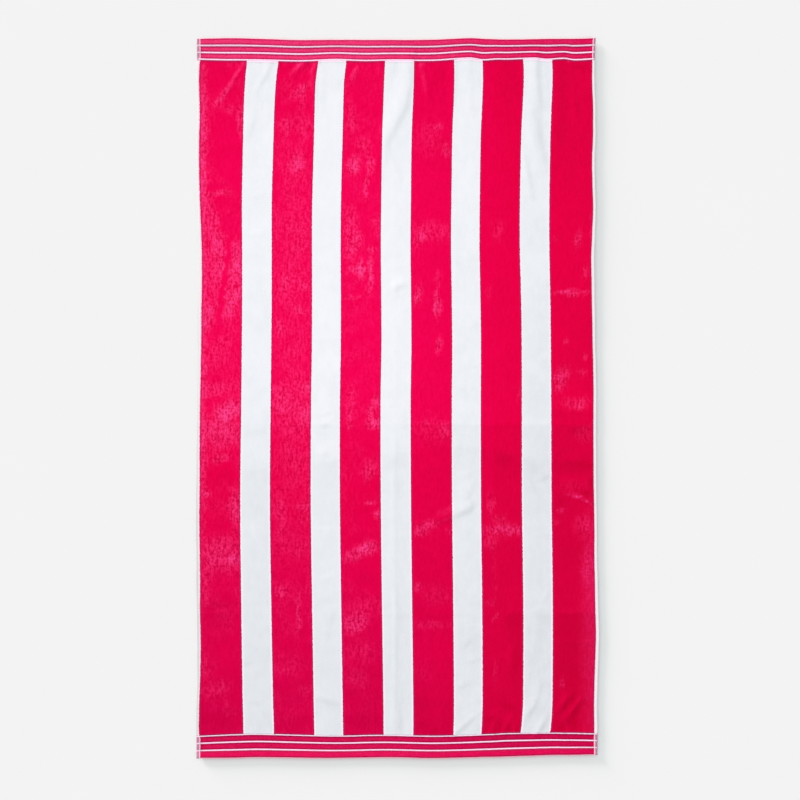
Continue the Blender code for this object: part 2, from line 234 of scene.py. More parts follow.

# Brushed places, where the tips of the pile catch the light, and smoothed ones where the strength is
# negative; a few along creases are painted highlights on their lit sides, and one is painted shade on a
# crease's far side: middle, half length, half width, which way each points in degrees, strength in
# hundredths.
BRUSHED = (
    # left stripe, from the top down
    (-484, 640, 180, 9, 90, 40), (-484, 0, 360, 8, 90, 22), (-430, 765, 34, 5, 52, 35),
    (-440, 748, 26, 12, 60, 22), (-423, 722, 14, 10, 0, 20), (-391, 690, 45, 8, 90, 35),
    (-448, 513, 26, 6, 0, 45), (-462, 424, 72, 18, 100, 34), (-440, 298, 95, 50, 90, 28),
    (-425, 630, 75, 32, 90, -16), (-433, 288, 95, 5, 82, -50), (-401, 342, 42, 12, 90, 38),
    (-436, 332, 32, 8, 95, 25), (-410, 248, 36, 15, 70, 40), (-474, 204, 30, 12, 85, 42),
    (-440, 110, 50, 46, 90, 12), (-440, 26, 50, 20, 0, 24), (-420, -28, 35, 22, 25, 62),
    (-440, -86, 54, 36, 0, 42), (-442, -148, 24, 12, 10, 36), (-476, -240, 13, 9, 0, 42),
    (-405, -271, 48, 14, 90, 42), (-437, -387, 46, 40, 0, 32), (-405, -402, 17, 14, 0, 42),
    (-472, -425, 35, 14, 90, 20), (-480, -487, 42, 9, 90, 18), (-479, -665, 28, 10, 90, 19),
    (-438, -712, 22, 7, 90, 17), (-457, -731, 30, 19, 0, 15), (-426, -765, 20, 6, 90, 14),
    # second stripe
    (-240, 772, 32, 9, 40, 30), (-236, 748, 26, 10, 80, 25), (-279, 680, 24, 16, 90, 28),
    (-235, 680, 38, 22, 90, 16), (-247, 591, 21, 17, 60, 56), (-255, 460, 105, 50, 90, 13),
    (-256, 236, 150, 52, 90, 13), (-282, 286, 16, 8, 90, 28), (-236, 280, 10, 10, 0, 22),
    (-298, 180, 16, 9, 90, 25), (-242, 222, 10, 9, 0, 28), (-260, -25, 88, 54, 90, 17),
    (-289, -12, 44, 24, 90, 16), (-225, 28, 16, 13, 0, 34), (-229, -43, 26, 14, 90, 24),
    (-260, -262, 165, 52, 90, 12), (-295, -296, 36, 13, 90, 18), (-235, -271, 22, 8, 0, 20),
    (-292, -483, 17, 14, 0, 28), (-247, -540, 36, 7, 90, 36), (-285, -668, 26, 22, 0, 16),
    (-230, -728, 16, 10, 0, 18),
    # third stripe
    (-110, 806, 18, 6, 60, 25), (-115, 707, 40, 12, 95, 21), (-82, 632, 19, 18, 90, 22),
    (-110, 584, 21, 14, 80, 65), (-67, 585, 22, 9, 95, 40), (-77, 535, 32, 5, 82, 32),
    (-116, 420, 62, 16, 90, 25), (-101, 386, 22, 13, 90, 26), (-54, 432, 25, 15, 90, 15),
    (-67, 372, 10, 9, 0, 35), (-120, 362, 18, 16, 90, 18), (-91, 327, 20, 8, 85, 80),
    (-113, 322, 12, 9, 0, 40), (-65, 320, 32, 5, 90, 62), (-70, 273, 16, 9, 90, 22),
    (-104, 252, 26, 3, 0, 38), (-117, 7, 25, 13, 90, 22), (-61, -23, 27, 11, 75, 50),
    (-55, -62, 19, 12, 0, 50), (-118, -52, 28, 6, 85, 30), (-70, -178, 30, 17, 80, 27),
    (-70, -260, 13, 5, 0, 45), (-49, -290, 10, 9, 0, 38), (-98, -386, 38, 15, 20, 38),
    (-80, -366, 24, 12, 0, 26), (-72, -377, 20, 11, -15, 28), (-85, -517, 50, 24, 0, 15),
    (-107, -560, 30, 23, 10, 45), (-92, -634, 34, 26, 0, 16), (-98, -702, 25, 24, 0, 16),
    # fourth stripe
    (78, 652, 40, 32, 90, 13), (122, 622, 18, 9, 90, 32), (105, 680, 10, 8, 0, 28),
    (88, 418, 50, 22, 0, 20), (58, 398, 20, 11, 60, 32), (53, 258, 22, 9, 85, 48),
    (100, 235, 32, 8, 90, 56), (101, 300, 25, 7, 90, 15), (103, 132, 20, 6, 90, 38),
    (85, -77, 45, 34, 0, 10), (118, -78, 14, 22, 0, 22), (73, -62, 8, 7, 0, 25), (70, -321, 30, 14, 22, 40),
    (125, -296, 22, 3, 20, 20), (127, -330, 6, 6, 0, 28), (51, -471, 9, 10, 0, 35),
    (98, -490, 34, 24, 0, 12), (88, -565, 44, 11, 0, 18), (67, -680, 20, 28, 0, 7),
    # fifth stripe
    (251, 420, 16, 24, 0, 14), (229, 265, 8, 15, 0, 12), (304, 15, 7, 15, 0, 18),
    (234, -262, 25, 10, 90, 25), (265, -328, 50, 15, 0, 36), (282, -325, 34, 8, 0, 14),
    (305, -334, 9, 9, 0, 20), (232, -360, 16, 16, 0, 24), (254, -300, 14, 8, 0, 24),
    (243, -432, 62, 3, 90, 12), (232, -508, 16, 8, 0, 18), (245, -548, 12, 5, 60, 36),
    (246, -683, 28, 5, 90, 16),
    # right stripe
    (452, 398, 22, 7, 85, 36), (486, 420, 36, 4, 90, 30), (396, 397, 8, 9, 0, 20),
    (470, 318, 18, 7, 90, 27), (438, 266, 42, 4, 2, 36), (436, 259, 34, 3, -4, 28), (423, 146, 8, 8, 0, 28),
    (470, 107, 6, 6, 0, 28), (409, 49, 30, 16, 70, 42), (462, 66, 14, 9, 0, 18), (448, -10, 32, 14, 0, 25),
    (455, -17, 12, 9, 0, 20), (468, -87, 20, 17, 0, 18), (435, -220, 30, 15, 0, 9),
    (462, -250, 32, 3, -19, 46), (407, -280, 10, 8, 0, 26), (398, -312, 7, 6, 0, 20),
    (466, -316, 22, 25, 0, 22), (476, -418, 48, 15, 90, 20), (411, -707, 15, 7, 90, 26),
)

# Painted highlights and sheen, where the pile catches the light evenly along crease crests and near the
# sides, in the same terms.
PAINTED_HIGHLIGHTS = (
    (-490, 300, 560, 9, 90, 22), (-404, 340, 40, 10, 90, 6), (-91, 327, 14, 4, 85, 30),
    (-67, 322, 28, 4, 92, 16), (-416, -32, 26, 14, 25, 8), (492, -600, 270, 28, 90, 20),
    (480, -420, 60, 18, 90, 6), (455, -248, 30, 3, -19, 22),
)

# Where the pink is painted lighter or darker than around it, in the same terms: partly pile that lies
# differently, partly painted light and shade along creases and folds.
SHADES = (
    # pink stripes, left to right
    (-450, 812, 45, 26, 0, -7), (-385, 788, 32, 9, 60, -10), (-482, 740, 20, 8, 90, -3),
    (-420, 610, 60, 26, 90, 3), (-440, -200, 45, 24, 0, -6), (-452, -530, 40, 38, 0, -8),
    (-455, -800, 40, 26, 0, -8), (-430, -640, 30, 20, 90, 3), (-286, 775, 30, 12, 80, -11),
    (-278, 822, 20, 7, 0, -12), (-226, 826, 9, 8, 0, -14), (-243, 797, 14, 9, 0, -9),
    (-262, 705, 30, 14, 90, -4), (-255, -810, 40, 18, 0, -5), (-52, 560, 34, 7, 80, -10),
    (-60, 770, 50, 16, 90, 3), (-60, -210, 26, 30, 0, -5), (-86, -806, 40, 20, 0, -7),
    (-112, -735, 20, 10, 0, -5), (-66, -455, 26, 20, 0, -3), (104, 806, 36, 13, 75, -11),
    (112, 632, 28, 9, 80, -7), (129, 770, 55, 7, 90, 8), (60, -815, 15, 8, 0, -12),
    (92, -832, 9, 6, 0, -12), (64, -757, 26, 14, 0, -7), (110, -640, 30, 22, 0, 3),
    (120, -300, 20, 12, 20, -5), (232, 690, 125, 9, 90, 7), (275, 800, 45, 22, 90, -4),
    (231, -200, 150, 11, 90, 6), (264, -153, 24, 19, 90, -7), (298, -650, 46, 13, 82, -13),
    (277, -640, 32, 6, 82, 5), (276, -770, 20, 8, -15, -12), (231, -799, 13, 7, 0, -10),
    (238, -784, 14, 5, 35, 7), (281, -797, 9, 11, 0, 9), (254, -822, 14, 3, 90, -16),
    (279, -824, 12, 4, 90, -12), (302, -818, 14, 4, 90, -10), (290, -560, 24, 22, 0, -5),
    (412, 760, 95, 13, 90, -10), (405, 650, 28, 8, 90, -7), (451, 722, 28, 7, 95, -9),
    (433, 742, 40, 7, 98, 5), (456, 830, 18, 6, -12, -16), (474, 805, 22, 4, 100, 10),
    (440, 5, 48, 30, 0, 5), (456, -80, 28, 11, 0, -9), (455, -166, 44, 14, 8, -11),
    (440, -199, 40, 9, 0, 8), (486, -212, 8, 15, 0, -18), (472, -238, 20, 6, -12, -18),
    (408, -258, 16, 26, 0, -9), (430, -390, 30, 40, 0, -3), (445, -640, 48, 100, 0, -6),
    (100, -640, 170, 50, 90, 5), (275, -690, 120, 50, 90, 4), (428, -762, 26, 9, 50, -14),
    (452, -778, 32, 8, 55, -18), (446, -762, 30, 5, 55, 8), (410, -745, 20, 10, 70, 7),
    (408, -822, 12, 8, 90, -14), (440, -812, 12, 8, 40, -12), (486, -780, 10, 14, 0, -10),
    (466, -822, 10, 4, 90, 12), (424, -826, 12, 4, 90, 12),
)

# The same for the white stripes, where ten is about three shades of grey: painted light and shade, along
# creases and folds and over whole stretches.
PALE_SHADES = (
    # whole stretches of a stripe
    (-345, -400, 520, 44, 90, -10), (-345, 235, 90, 40, 90, -7), (180, 650, 250, 42, 90, 17),
    (-172, 760, 80, 40, 90, 6), (5, 620, 40, 40, 0, -6), (350, -60, 330, 42, 90, -8),
    (350, 590, 330, 42, 90, 9), (350, -600, 200, 42, 90, -6), (-172, -650, 110, 40, 90, -5),
    # first white stripe, from the top down
    (-328, 808, 28, 5, 62, -13), (-354, 730, 34, 8, 78, -6), (-370, 665, 24, 9, 80, -7),
    (-331, 670, 60, 18, 90, 5), (-346, 575, 34, 9, 0, -5), (-350, 487, 36, 26, 0, -9),
    (-355, 416, 34, 7, 0, 10), (-340, 440, 12, 14, 0, 7), (-352, 403, 20, 5, 0, -6),
    (-355, 362, 30, 20, 0, -4), (-351, 220, 18, 15, 0, 9), (-326, 190, 55, 10, 90, -7),
    (-350, 98, 36, 22, 0, 5), (-366, 44, 14, 11, 0, -7), (-352, -30, 9, 9, 0, 8),
    (-346, -86, 36, 13, 0, -12), (-346, -135, 36, 28, 0, 5), (-372, -405, 14, 16, 0, 7),
    (-360, -325, 20, 11, 0, 5), (-336, -510, 26, 6, 0, -6), (-341, -645, 26, 15, 0, -6),
    (-373, -664, 14, 4, 12, -20), (-351, -762, 14, 5, 0, -18), (-331, -812, 16, 10, 60, -6),
    # second
    (-184, 727, 25, 4, 90, -12), (-150, 660, 110, 14, 90, 5), (-172, 215, 50, 36, 90, 7),
    (-170, 143, 36, 14, 0, -6), (-167, 85, 36, 24, 0, 9), (-158, 10, 40, 12, 90, -8),
    (-182, 5, 30, 11, 90, 9), (-179, -68, 10, 6, 0, -24), (-177, -50, 13, 7, 20, 15),
    (-189, -86, 12, 5, 0, -10), (-174, -128, 36, 18, 0, 11), (-172, -172, 36, 18, 0, -7),
    (-174, -197, 12, 14, 0, -5), (-164, -225, 20, 9, 0, 5), (-180, -323, 26, 5, 0, 12),
    (-174, -440, 27, 7, 25, 13), (-172, -457, 20, 6, 25, -8), (-176, -503, 12, 7, 0, -11),
    (-154, -515, 14, 8, 0, 8), (-164, -565, 40, 8, 75, -13), (-189, -540, 30, 7, 60, 6),
    (-149, -600, 60, 8, 90, 6), (-176, -725, 30, 26, 90, 7), (-170, -757, 38, 7, -16, -22),
    (-165, -808, 24, 22, 0, 5),
    # third
    (-14, 825, 8, 6, 0, -8), (5, 820, 30, 5, 75, -6), (13, 500, 10, 10, 0, 7), (26, 560, 30, 7, 90, 5),
    (-5, 365, 30, 12, 30, -5), (4, 298, 20, 9, 25, 12), (10, 278, 15, 6, 10, -14), (6, 258, 14, 8, 0, -8),
    (-5, 205, 36, 20, 0, 5), (-20, 75, 10, 10, 0, 5), (2, 20, 38, 18, 20, -7), (-15, -20, 9, 6, 0, -11),
    (20, -65, 15, 7, 90, -10), (-15, -110, 16, 18, 0, 7), (2, -160, 34, 16, 20, -10), (6, -185, 8, 6, 0, 6),
    (-15, -255, 60, 5, 90, 9), (-19, -370, 60, 9, 90, 8), (-9, -520, 34, 4, 90, 12),
    (12, -580, 60, 16, 90, -8), (0, -655, 50, 4, 90, -10), (-17, -770, 70, 8, 90, 12),
    (9, -790, 46, 4, 88, -18), (25, -815, 20, 7, 60, 6),
    # fourth
    (205, 802, 24, 9, 105, -9), (195, 720, 15, 11, 90, -13), (182, 565, 40, 8, 90, 5),
    (157, 370, 60, 11, 90, -6), (182, 335, 30, 24, 0, -5), (190, 420, 10, 1.5, 0, -18),
    (180, 228, 36, 30, 0, 8), (178, 178, 28, 3, 8, -9), (157, 162, 14, 9, 0, -7), (167, 105, 16, 11, 0, 6),
    (195, 80, 8, 1.5, 0, -12), (178, 15, 38, 18, 0, -8), (188, 25, 6, 5, 0, -10), (162, 20, 6, 5, 0, -8),
    (168, -95, 24, 14, 0, 6), (164, -185, 16, 8, 0, 16), (180, -194, 20, 5, 40, -16),
    (182, -225, 40, 7, 62, 14), (170, -284, 22, 5, 25, -20), (197, -266, 16, 6, 25, -10),
    (178, -335, 6, 5, 0, -10), (168, -350, 12, 18, 0, 5), (202, -335, 10, 18, 0, 7),
    (207, -365, 8, 13, 0, -7), (192, -470, 20, 12, 70, 9), (198, -520, 18, 12, 0, -12),
    (182, -565, 36, 3, 2, 12), (195, -605, 26, 22, 30, -11), (162, -615, 20, 18, 30, -7),
    (195, -655, 26, 5, 15, -12), (172, -716, 15, 5, 15, -13), (195, -735, 26, 9, 45, 10),
    (162, -755, 14, 13, 45, 5), (170, -785, 40, 6, 42, 10), (190, -818, 30, 7, 42, 9),
    (207, -755, 8, 4, 20, -14),
    # fifth
    (331, 770, 55, 8, 90, 5), (359, 725, 52, 9, 88, -20), (352, 665, 34, 16, 95, -16),
    (368, 610, 46, 8, 102, -17), (334, 635, 62, 8, 103, 8), (376, 670, 42, 6, 90, 5),
    (334, 530, 34, 5, 100, -12), (340, 500, 10, 7, 0, -12), (350, 415, 52, 36, 90, -10),
    (350, 345, 36, 22, 0, 4), (367, 280, 18, 9, 0, -12), (354, 252, 36, 13, 0, -5),
    (365, 170, 60, 13, 90, -8), (370, 192, 12, 1.5, 0, 20), (370, 108, 14, 7, 25, 15),
    (365, 92, 10, 7, 0, -9), (340, 80, 20, 13, 30, 5), (350, 5, 38, 38, 0, -10), (350, -54, 38, 9, 0, 7),
    (335, -170, 30, 13, 0, -7), (372, -199, 10, 4, 20, -30), (354, -203, 10, 3, 10, -17),
    (340, -218, 20, 4, -60, -13), (365, -216, 20, 3, 0, 7), (370, -280, 20, 18, 0, -5),
    (365, -345, 26, 5, 5, -7), (369, -495, 27, 6, 65, 12), (345, -525, 22, 6, 15, 9),
    (365, -547, 24, 13, 0, -12), (355, -605, 60, 22, 75, -8), (327, -577, 8, 8, 0, -12),
    (332, -615, 30, 9, 90, 5), (380, -770, 30, 8, 60, 9), (335, -735, 26, 9, 60, 5),
    (388, -705, 32, 4, 80, -10), (372, -765, 26, 5, 60, -10), (371, -806, 22, 7, 55, -16),
    (345, -815, 26, 7, 50, 8),
)

# Painted light falloff: how light the cloth is painted, lighter in the upper part and at the left, darker
# towards the bottom and the right; a share for places along the towel and one for places across it.
PAINTED_FALLOFF_ALONG = (
    (-850, 0.36), (-505, 0.60), (-255, 0.755), (-137, 0.91), (-66, 1.04),
    (-20, 1.14), (200, 1.24), (500, 1.22), (760, 1.02), (850, 0.96),
)
PAINTED_FALLOFF_ACROSS = ((-500, 0.64), (-50, 0.68), (50, 0.61), (225, 0.50), (500, 0.34))

# Lines across the towel where the cloth is painted lighter above and darker below: painted light and shade
# along lines where the towel was folded.
PRESSED_LINE = ((-500, -64), (500, -64))
LOWER_LINE = ((-381, -182), (-170, -156), (0, -134), (180, -122), (350, -150), (500, -160))
RIGHT_LINE = ((-500, -27), (500, -27))
BOTTOM_LINE = ((-500, -535), (500, -535))

# How strongly a slope that faces the light is painted lighter, a painted highlight, beyond the gentlest
# slopes.
GLOW_ON_SLOPE = 6.0
GENTLE_SLOPE = 0.025

# The light. Most of it comes from all round, and a share of it, made stronger by a
# boost, is a warmer sun at the upper left, low over the floor.
SUN_AZIMUTH = math.radians(135.0)
SUN_ELEVATION = math.radians(8.6)
SUN_SOFTNESS = math.radians(14.0)
SUN_COLOUR = (1.0, 0.846, 0.846)
SKY_COLOUR = (0.975, 1.006, 1.006, 1.0)
LIGHT = 1.08
SUN_SHARE = 0.15
SUN_BOOST = 1.142
TO_LIGHT = (math.cos(SUN_AZIMUTH), math.sin(SUN_AZIMUTH))

# Where the camera looks straight down from.
CAMERA_PLACE = (0.00534, -0.00450, 4.0)

# The mesh lines in from a side, in from an end and around the line where the pile
# ends, in millimetres, and how large the cells between them are.
SIDE_STEPS = (0.0, 0.35, 1.1, 2.2, 3.8, 5.4, 6.4, 7.0, 7.6, 8.6, 10.2)
END_STEPS = (0.0, 0.35, 1.1, 2.2, 4.2, 7.5, 11.0, 14.0, 16.2, 17.4, 18.2, 19.0, 20.4)
PILE_STEPS = (-1.2, -0.3, 0.3, 0.9, 1.7, 3.2)
CELL_ACROSS = 4.7 * MM
CELL_ALONG = 5.7 * MM

# The towel's materials after pink and white velour, by their place in its list.
BORDER_SLOT = 2
HEM_SLOT = 3
BACK_SLOT = 4

# The second flat layout: its scale and margin, where the narrower back starts, and
# how far the rim lies outside the face.
LAYOUT_SCALE = 0.54
LAYOUT_MARGIN = 0.012
BACK_FROM = 0.575
BACK_SQUEEZE = 0.41
RIM_GAP = 0.006

# The floats of the white lines: how far apart they are, their rows as shares of half
# a line's width, and how far they keep from the sides.
FLOAT_PITCH = 3.4 * MM
FLOAT_ROWS = (-0.64, 0.0, 0.64)
FLOAT_MARGIN = 1.2 * MM

# The stitches: how far apart they are, how far they keep from the corners, and how
# far in from the end the top and bottom hems are sewn.
STITCH_PITCH = 3.2 * MM
STITCH_MARGIN = 4.0 * MM
TOP_SEAM = 13.2 * MM
BOTTOM_SEAM = 16.0 * MM

# The tufts along the edge of the pile, in two rows at each end and one at each side:
# how far apart they are, how far in from the edge each row stands, the left one just
# outside it, and how far outwards of a tuft the height of its foot is taken.
END_TUFT_PITCH = 1.6 * MM
END_TUFT_ROWS = (0.8 * MM, 1.8 * MM)
SIDE_TUFT_PITCH = 1.9 * MM
LEFT_TUFT_ROW = -0.3 * MM
RIGHT_TUFT_ROW = 0.9 * MM
FOOT_OUT = 0.8 * MM

# Half the length, width and height of a float and of a stitch, and how many sides
# they and the tufts have.
FLOAT_SIZE = (1.72 * MM, 0.62 * MM, 0.22 * MM)
SIDE_STITCH_SIZE = (1.45 * MM, 0.42 * MM, 0.30 * MM)
END_STITCH_SIZE = (1.40 * MM, 0.36 * MM, 0.26 * MM)
SIDES = 5

# The floor: half its width, its cells each way and where it lies.
FLOOR_HALF = 6.0
FLOOR_CELLS = 12
FLOOR_LEVEL = -0.4 * MM


# --- numbers and curves ---------------------------------------------------------


def ease(share):
    """A smooth step from 0 to 1."""
    share = np.clip(share, 0.0, 1.0)
    return share * share * (3 - 2 * share)


def curve(knots, values, places):
    """Values at places, on smooth curves through the knots.

    values has one row for each knot, and either one number or one number for
    each place in a row.
    """
    knots = np.asarray(knots, float)
    count = len(places)
    table = np.broadcast_to(np.asarray(values, float).reshape(len(knots), -1), (len(knots), count))
    here = np.arange(count)
    i = np.clip(np.searchsorted(knots, places, side="left") - 1, 0, len(knots) - 2)
    before, after = np.maximum(i - 1, 0), np.minimum(i + 2, len(knots) - 1)
    span = knots[i + 1] - knots[i]
    share = np.clip((places - knots[i]) / span, 0.0, 1.0)
    low, high = table[i, here], table[i + 1, here]
    slope_low = (high - table[before, here]) / (knots[i + 1] - knots[before])
    slope_high = (table[after, here] - low) / (knots[after] - knots[i])
    return (
        low * (1 + 2 * share) * (1 - share) ** 2
        + high * (3 - 2 * share) * share**2
        + slope_low * span * share * (1 - share) ** 2
        - slope_high * span * share**2 * (1 - share)
    )


def read(rows, places, column=None):
    """Values at places, on smooth curves down a table or down one column of it."""
    values = [row[1] if column is None else row[1][column] for row in rows]
    return curve([row[0] for row in rows], values, places)


def mottle(x, y, size, seed):
    """Smooth unevenness between -1 and 1, whose swells are about as wide as size."""
    turn = 0.6 + 0.9 * seed
    along, aside = math.cos(turn), math.sin(turn)
    x, y = (x * along - y * aside) / size + 500, (x * aside + y * along) / size + 500
    table = np.random.default_rng(seed).uniform(-1.0, 1.0, (64, 64))
    i, j = np.floor(x).astype(int), np.floor(y).astype(int)
    right, up = ease(x - i), ease(y - j)
    i, j, i2, j2 = i % 64, j % 64, (i + 1) % 64, (j + 1) % 64
    low = table[i, j] * (1 - right) + table[i2, j] * right
    high = table[i, j2] * (1 - right) + table[i2, j2] * right
    return low * (1 - up) + high * up


def ridge(height, steep, aside_x, aside_y):
    """A soft ridge, steep away from the light, at an offset from its crest."""
    distance = np.hypot(aside_x, aside_y)
    towards = (aside_x * TO_LIGHT[0] + aside_y * TO_LIGHT[1]) / np.maximum(distance, 1e-6)
    reach = steep * (1 + (GENTLE_SIDE - 1) * ease(0.5 + 0.75 * towards))
    return height * np.cos(math.pi / 2 * np.clip(distance / reach, -1.0, 1.0)) ** 2


def nearest_on(path, x, y):
    """The offset of points from a path, and how far along it each is, from 0 to 1."""
    lengths = [math.dist(a, b) for a, b in zip(path, path[1:])]
    nearest = np.full(x.shape, np.inf)
    share, aside_x, aside_y = np.zeros((3, *x.shape))
    passed = 0.0
    for (ax, ay), (bx, by), length in zip(path, path[1:], lengths):
        t = np.clip(((x - ax) * (bx - ax) + (y - ay) * (by - ay)) / length**2, 0.0, 1.0)
        off_x, off_y = x - ax - t * (bx - ax), y - ay - t * (by - ay)
        distance = np.hypot(off_x, off_y)
        closer = distance < nearest
        nearest = np.where(closer, distance, nearest)
        aside_x, aside_y = np.where(closer, off_x, aside_x), np.where(closer, off_y, aside_y)
        share = np.where(closer, (passed + t * length) / sum(lengths), share)
        passed += length
    return aside_x, aside_y, share


# --- the shape of the cloth -----------------------------------------------------


def edge_shift(rows, along, across, half, low_line, high_line, reach):
    """How far the cloth moves near two opposite edges, which are half away from the middle.

    The rows hold, for places along the edges, how far the low edge, the two lines
    where the pile ends, and the high edge move.
    """
    low, low_pile, high_pile, high = (read(rows, along, column) for column in range(4))
    none = np.zeros_like(along)
    knots = (-half, low_line, low_line + reach, low_line + 2 * reach)
    knots += (high_line - 2 * reach, high_line - reach, high_line, half)
    shifts = np.stack([low, low_pile, none, none, none, none, high_pile, high])
    return curve(knots, shifts, across)


def sway(u, v):
    """How far the cloth lies to the right of and above its straight place."""
    columns = [read(SWAY_ROWS, v, column) for column in range(len(SWAY_PLACES))]
    right = curve(SWAY_PLACES, np.stack(columns), u) + curve(STRIPE_EDGES, STRIPE_SHIFTS, u)
    side = WIDTH / 2 - SIDE_HEM
    right += edge_shift(SIDE_ROWS, v, u, WIDTH / 2, -side, side, SIDE_SWAY_REACH)
    bottom, top = BOTTOM_BORDER - LENGTH / 2, LENGTH / 2 - TOP_BORDER
    up = edge_shift(END_ROWS, u, v, LENGTH / 2, bottom, top, END_SWAY_REACH)
    return right * MM, up * MM


def spread(u, v):
    """Where points of the cloth lie, seen from above."""
    right, up = sway(u, v)
    side = ease(1 - (WIDTH / 2 - np.abs(u)) / WOBBLE_REACH) * np.sign(u)
    end = ease(1 - (LENGTH / 2 - np.abs(v)) / WOBBLE_REACH) * np.sign(v)
    wobble_side = 0.30 * mottle(v, 0.0, 0.021, 11) + 0.35 * mottle(v, 0.0, 0.064, 12)
    wobble_end = 0.20 * mottle(u, 0.0, 0.019, 13) + 0.25 * mottle(u, 0.0, 0.058, 14)
    return u + right + side * wobble_side * MM, v + up + end * wobble_end * MM


def lift(x, y):
    """How high creases and swells lift the cloth off the floor."""
    x, y = x / MM, y / MM
    none = np.zeros_like(x)
    varied = 0.75 + 0.4 * mottle(x, y, 60.0, 21)
    place, height, steep = MIDDLE_FOLD
    height = height * (0.3 + 0.7 * ease((-60 - y) / 80))
    heights = [ridge(height * varied, steep, x - place - 1.2 * mottle(x, y, 90.0, 22), none)]
    for place, height, steep in FOLDS_ACROSS:
        offset = y - place - 1.5 * mottle(x, y, 90.0, 24)
        heights.append(ridge(height * varied, steep, none, offset))
    x_bent = x + 1.6 * mottle(x, y, 24.0, 25)
    y_bent = y + 1.6 * mottle(x, y, 24.0, 26)
    for height, steep, first, last, path in CREASES:
        aside_x, aside_y, share = nearest_on(path, x_bent, y_bent)
        rise = first + (1 - first) * ease(share / 0.35)
        fall = 1 - (1 - last) * ease((share - 0.35) / 0.65)
        heights.append(ridge(height * rise * fall, steep, aside_x, aside_y))
    total = np.sum([np.maximum(h, 0.0) ** 3 for h in heights], axis=0) ** (1 / 3)
    swell = 0.30 * (1 + mottle(x, y, 78.0, 31)) + 0.10 * (1 + mottle(x, y, 27.0, 32))
    swell += 0.04 * (1 + mottle(x, y, 13.0, 33))
    return (total + swell) * MM


def curl(u, v):
    """How far the edges curl up off the floor. The light's far edges stand highest."""
    x, y = u / MM, v / MM
    left = ease(1 - (500 + x) / 16.0) * (0.4 + 0.2 * mottle(y, 0.0, 60.0, 41))
    right_height = 2.5 + 1.2 * ease((y - 100) / 300) + 0.5 * mottle(y, 0.0, 70.0, 42)
    right = ease(1 - (500 - x) / 60.0) * right_height
    top = ease(1 - (900 - y) / 18.0) * (0.4 + 0.2 * mottle(x, 0.0, 60.0, 43))
    bottom = ease(1 - (900 + y) / 24.0) * (4.0 + 0.4 * mottle(x, 0.0, 70.0, 44))
    return np.maximum(np.maximum(left, right), np.maximum(top, bottom)) * MM


def border_depth(v):
    """How deep the border is at the end that a place along the cloth is nearer to."""
    return np.where(v > 0, TOP_BORDER, BOTTOM_BORDER)


def thickness(u, v):
    """How thick the cloth is: its hems, its flat weave or its pile."""
    from_side = WIDTH / 2 - np.abs(u)
    from_end = LENGTH / 2 - np.abs(v)
    beyond_border = from_end - border_depth(v)
    pile = ease((from_side - SIDE_HEM - 0.0002) / 0.0022) * ease((beyond_border + 0.0003) / 0.0018)
    body = BORDER_THICKNESS + 1.45 * MM * ease(1 + beyond_border / 0.010)
    body = body + (PILE_THICKNESS - body) * pile
    roping = 0.22 * mottle(v / MM, 0.0, 7.0, 51) * MM
    side = ease((SIDE_HEM + 0.0004 - from_side) / 0.0010) * (SIDE_HEM_THICKNESS + roping)
    end = ease((END_HEM + 0.0005 - from_end) / 0.0012) * END_HEM_THICKNESS
    whole = np.maximum(body, np.maximum(side, end))
    seam = 0.22 * np.exp(-(((from_side - SIDE_HEM) / 0.0007) ** 2))
    return whole - seam * MM * np.where(from_side < 0.02, 1.0, 0.0)


def roundness(u, v):
    """How much of its thickness the cloth keeps at its folded edges."""
    shares = []
    for distance in (WIDTH / 2 - np.abs(u), LENGTH / 2 - np.abs(v)):
        inwards = np.clip(1 - distance / EDGE_RADIUS, 0.0, 1.0)
        shares.append(np.sqrt(np.maximum(1 - inwards**2, 0.03)))
    return shares[0] * shares[1]


def face_and_back(u, v):
    """Where points of the cloth lie: x, y, the height of its face and of its back."""
    x, y = spread(u, v)
    from_end = LENGTH / 2 - np.abs(v)
    slung = 0.4 * MM * ease((from_end - END_HEM) / 0.004)
    slung = slung * ease((border_depth(v) - from_end) / 0.004)
    half_depth = thickness(u, v) / 2
    middle = lift(x, y) + curl(u, v) + slung + half_depth
    kept = half_depth * roundness(u, v)
    return x, y, middle + kept, middle - kept


def outline_middle():
    """The middle of the towel's outline before it is centred on the floor."""
    line = np.linspace(-0.5, 0.5, 241)
    end = np.full(241, 0.5)
    u = np.concatenate([-end, end, line, line]) * WIDTH
    v = np.concatenate([line, line, -end, end]) * LENGTH
    x, y = spread(u, v)
    return (x.min() + x.max()) / 2, (y.min() + y.max()) / 2


MIDDLE_X, MIDDLE_Y = outline_middle()


def centred(x, y, z):
    """Points of the cloth, moved to where the towel lies on the floor."""
    return np.stack([x - MIDDLE_X, y - MIDDLE_Y, z], axis=-1)


# --- the pile's brushing, and painted light and shade ---------------------------


def patches(table, x, y):
    """The summed strengths of a table's patches at points."""
    total = np.zeros_like(x)
    for mid_x, mid_y, half_length, half_width, degrees, hundredths in table:
        c, s = math.cos(math.radians(degrees)), math.sin(math.radians(degrees))
        along = ((x - mid_x) * c + (y - mid_y) * s) / half_length
        aside = ((y - mid_y) * c - (x - mid_x) * s) / half_width
        total += hundredths / 100 * np.exp(-0.7 * (along**2 + aside**2) ** 1.6)
    return total


def line_shading(x, y, line, above, below, reach):
    """Painted light above a line across the cloth and painted shade below it."""
    past = read(line, x) + 1.5 * mottle(x, y, 30.0, 66) - y
    return ease(1 - np.abs(past) / reach) * (above - (above + below) * ease(0.5 + past / 5))


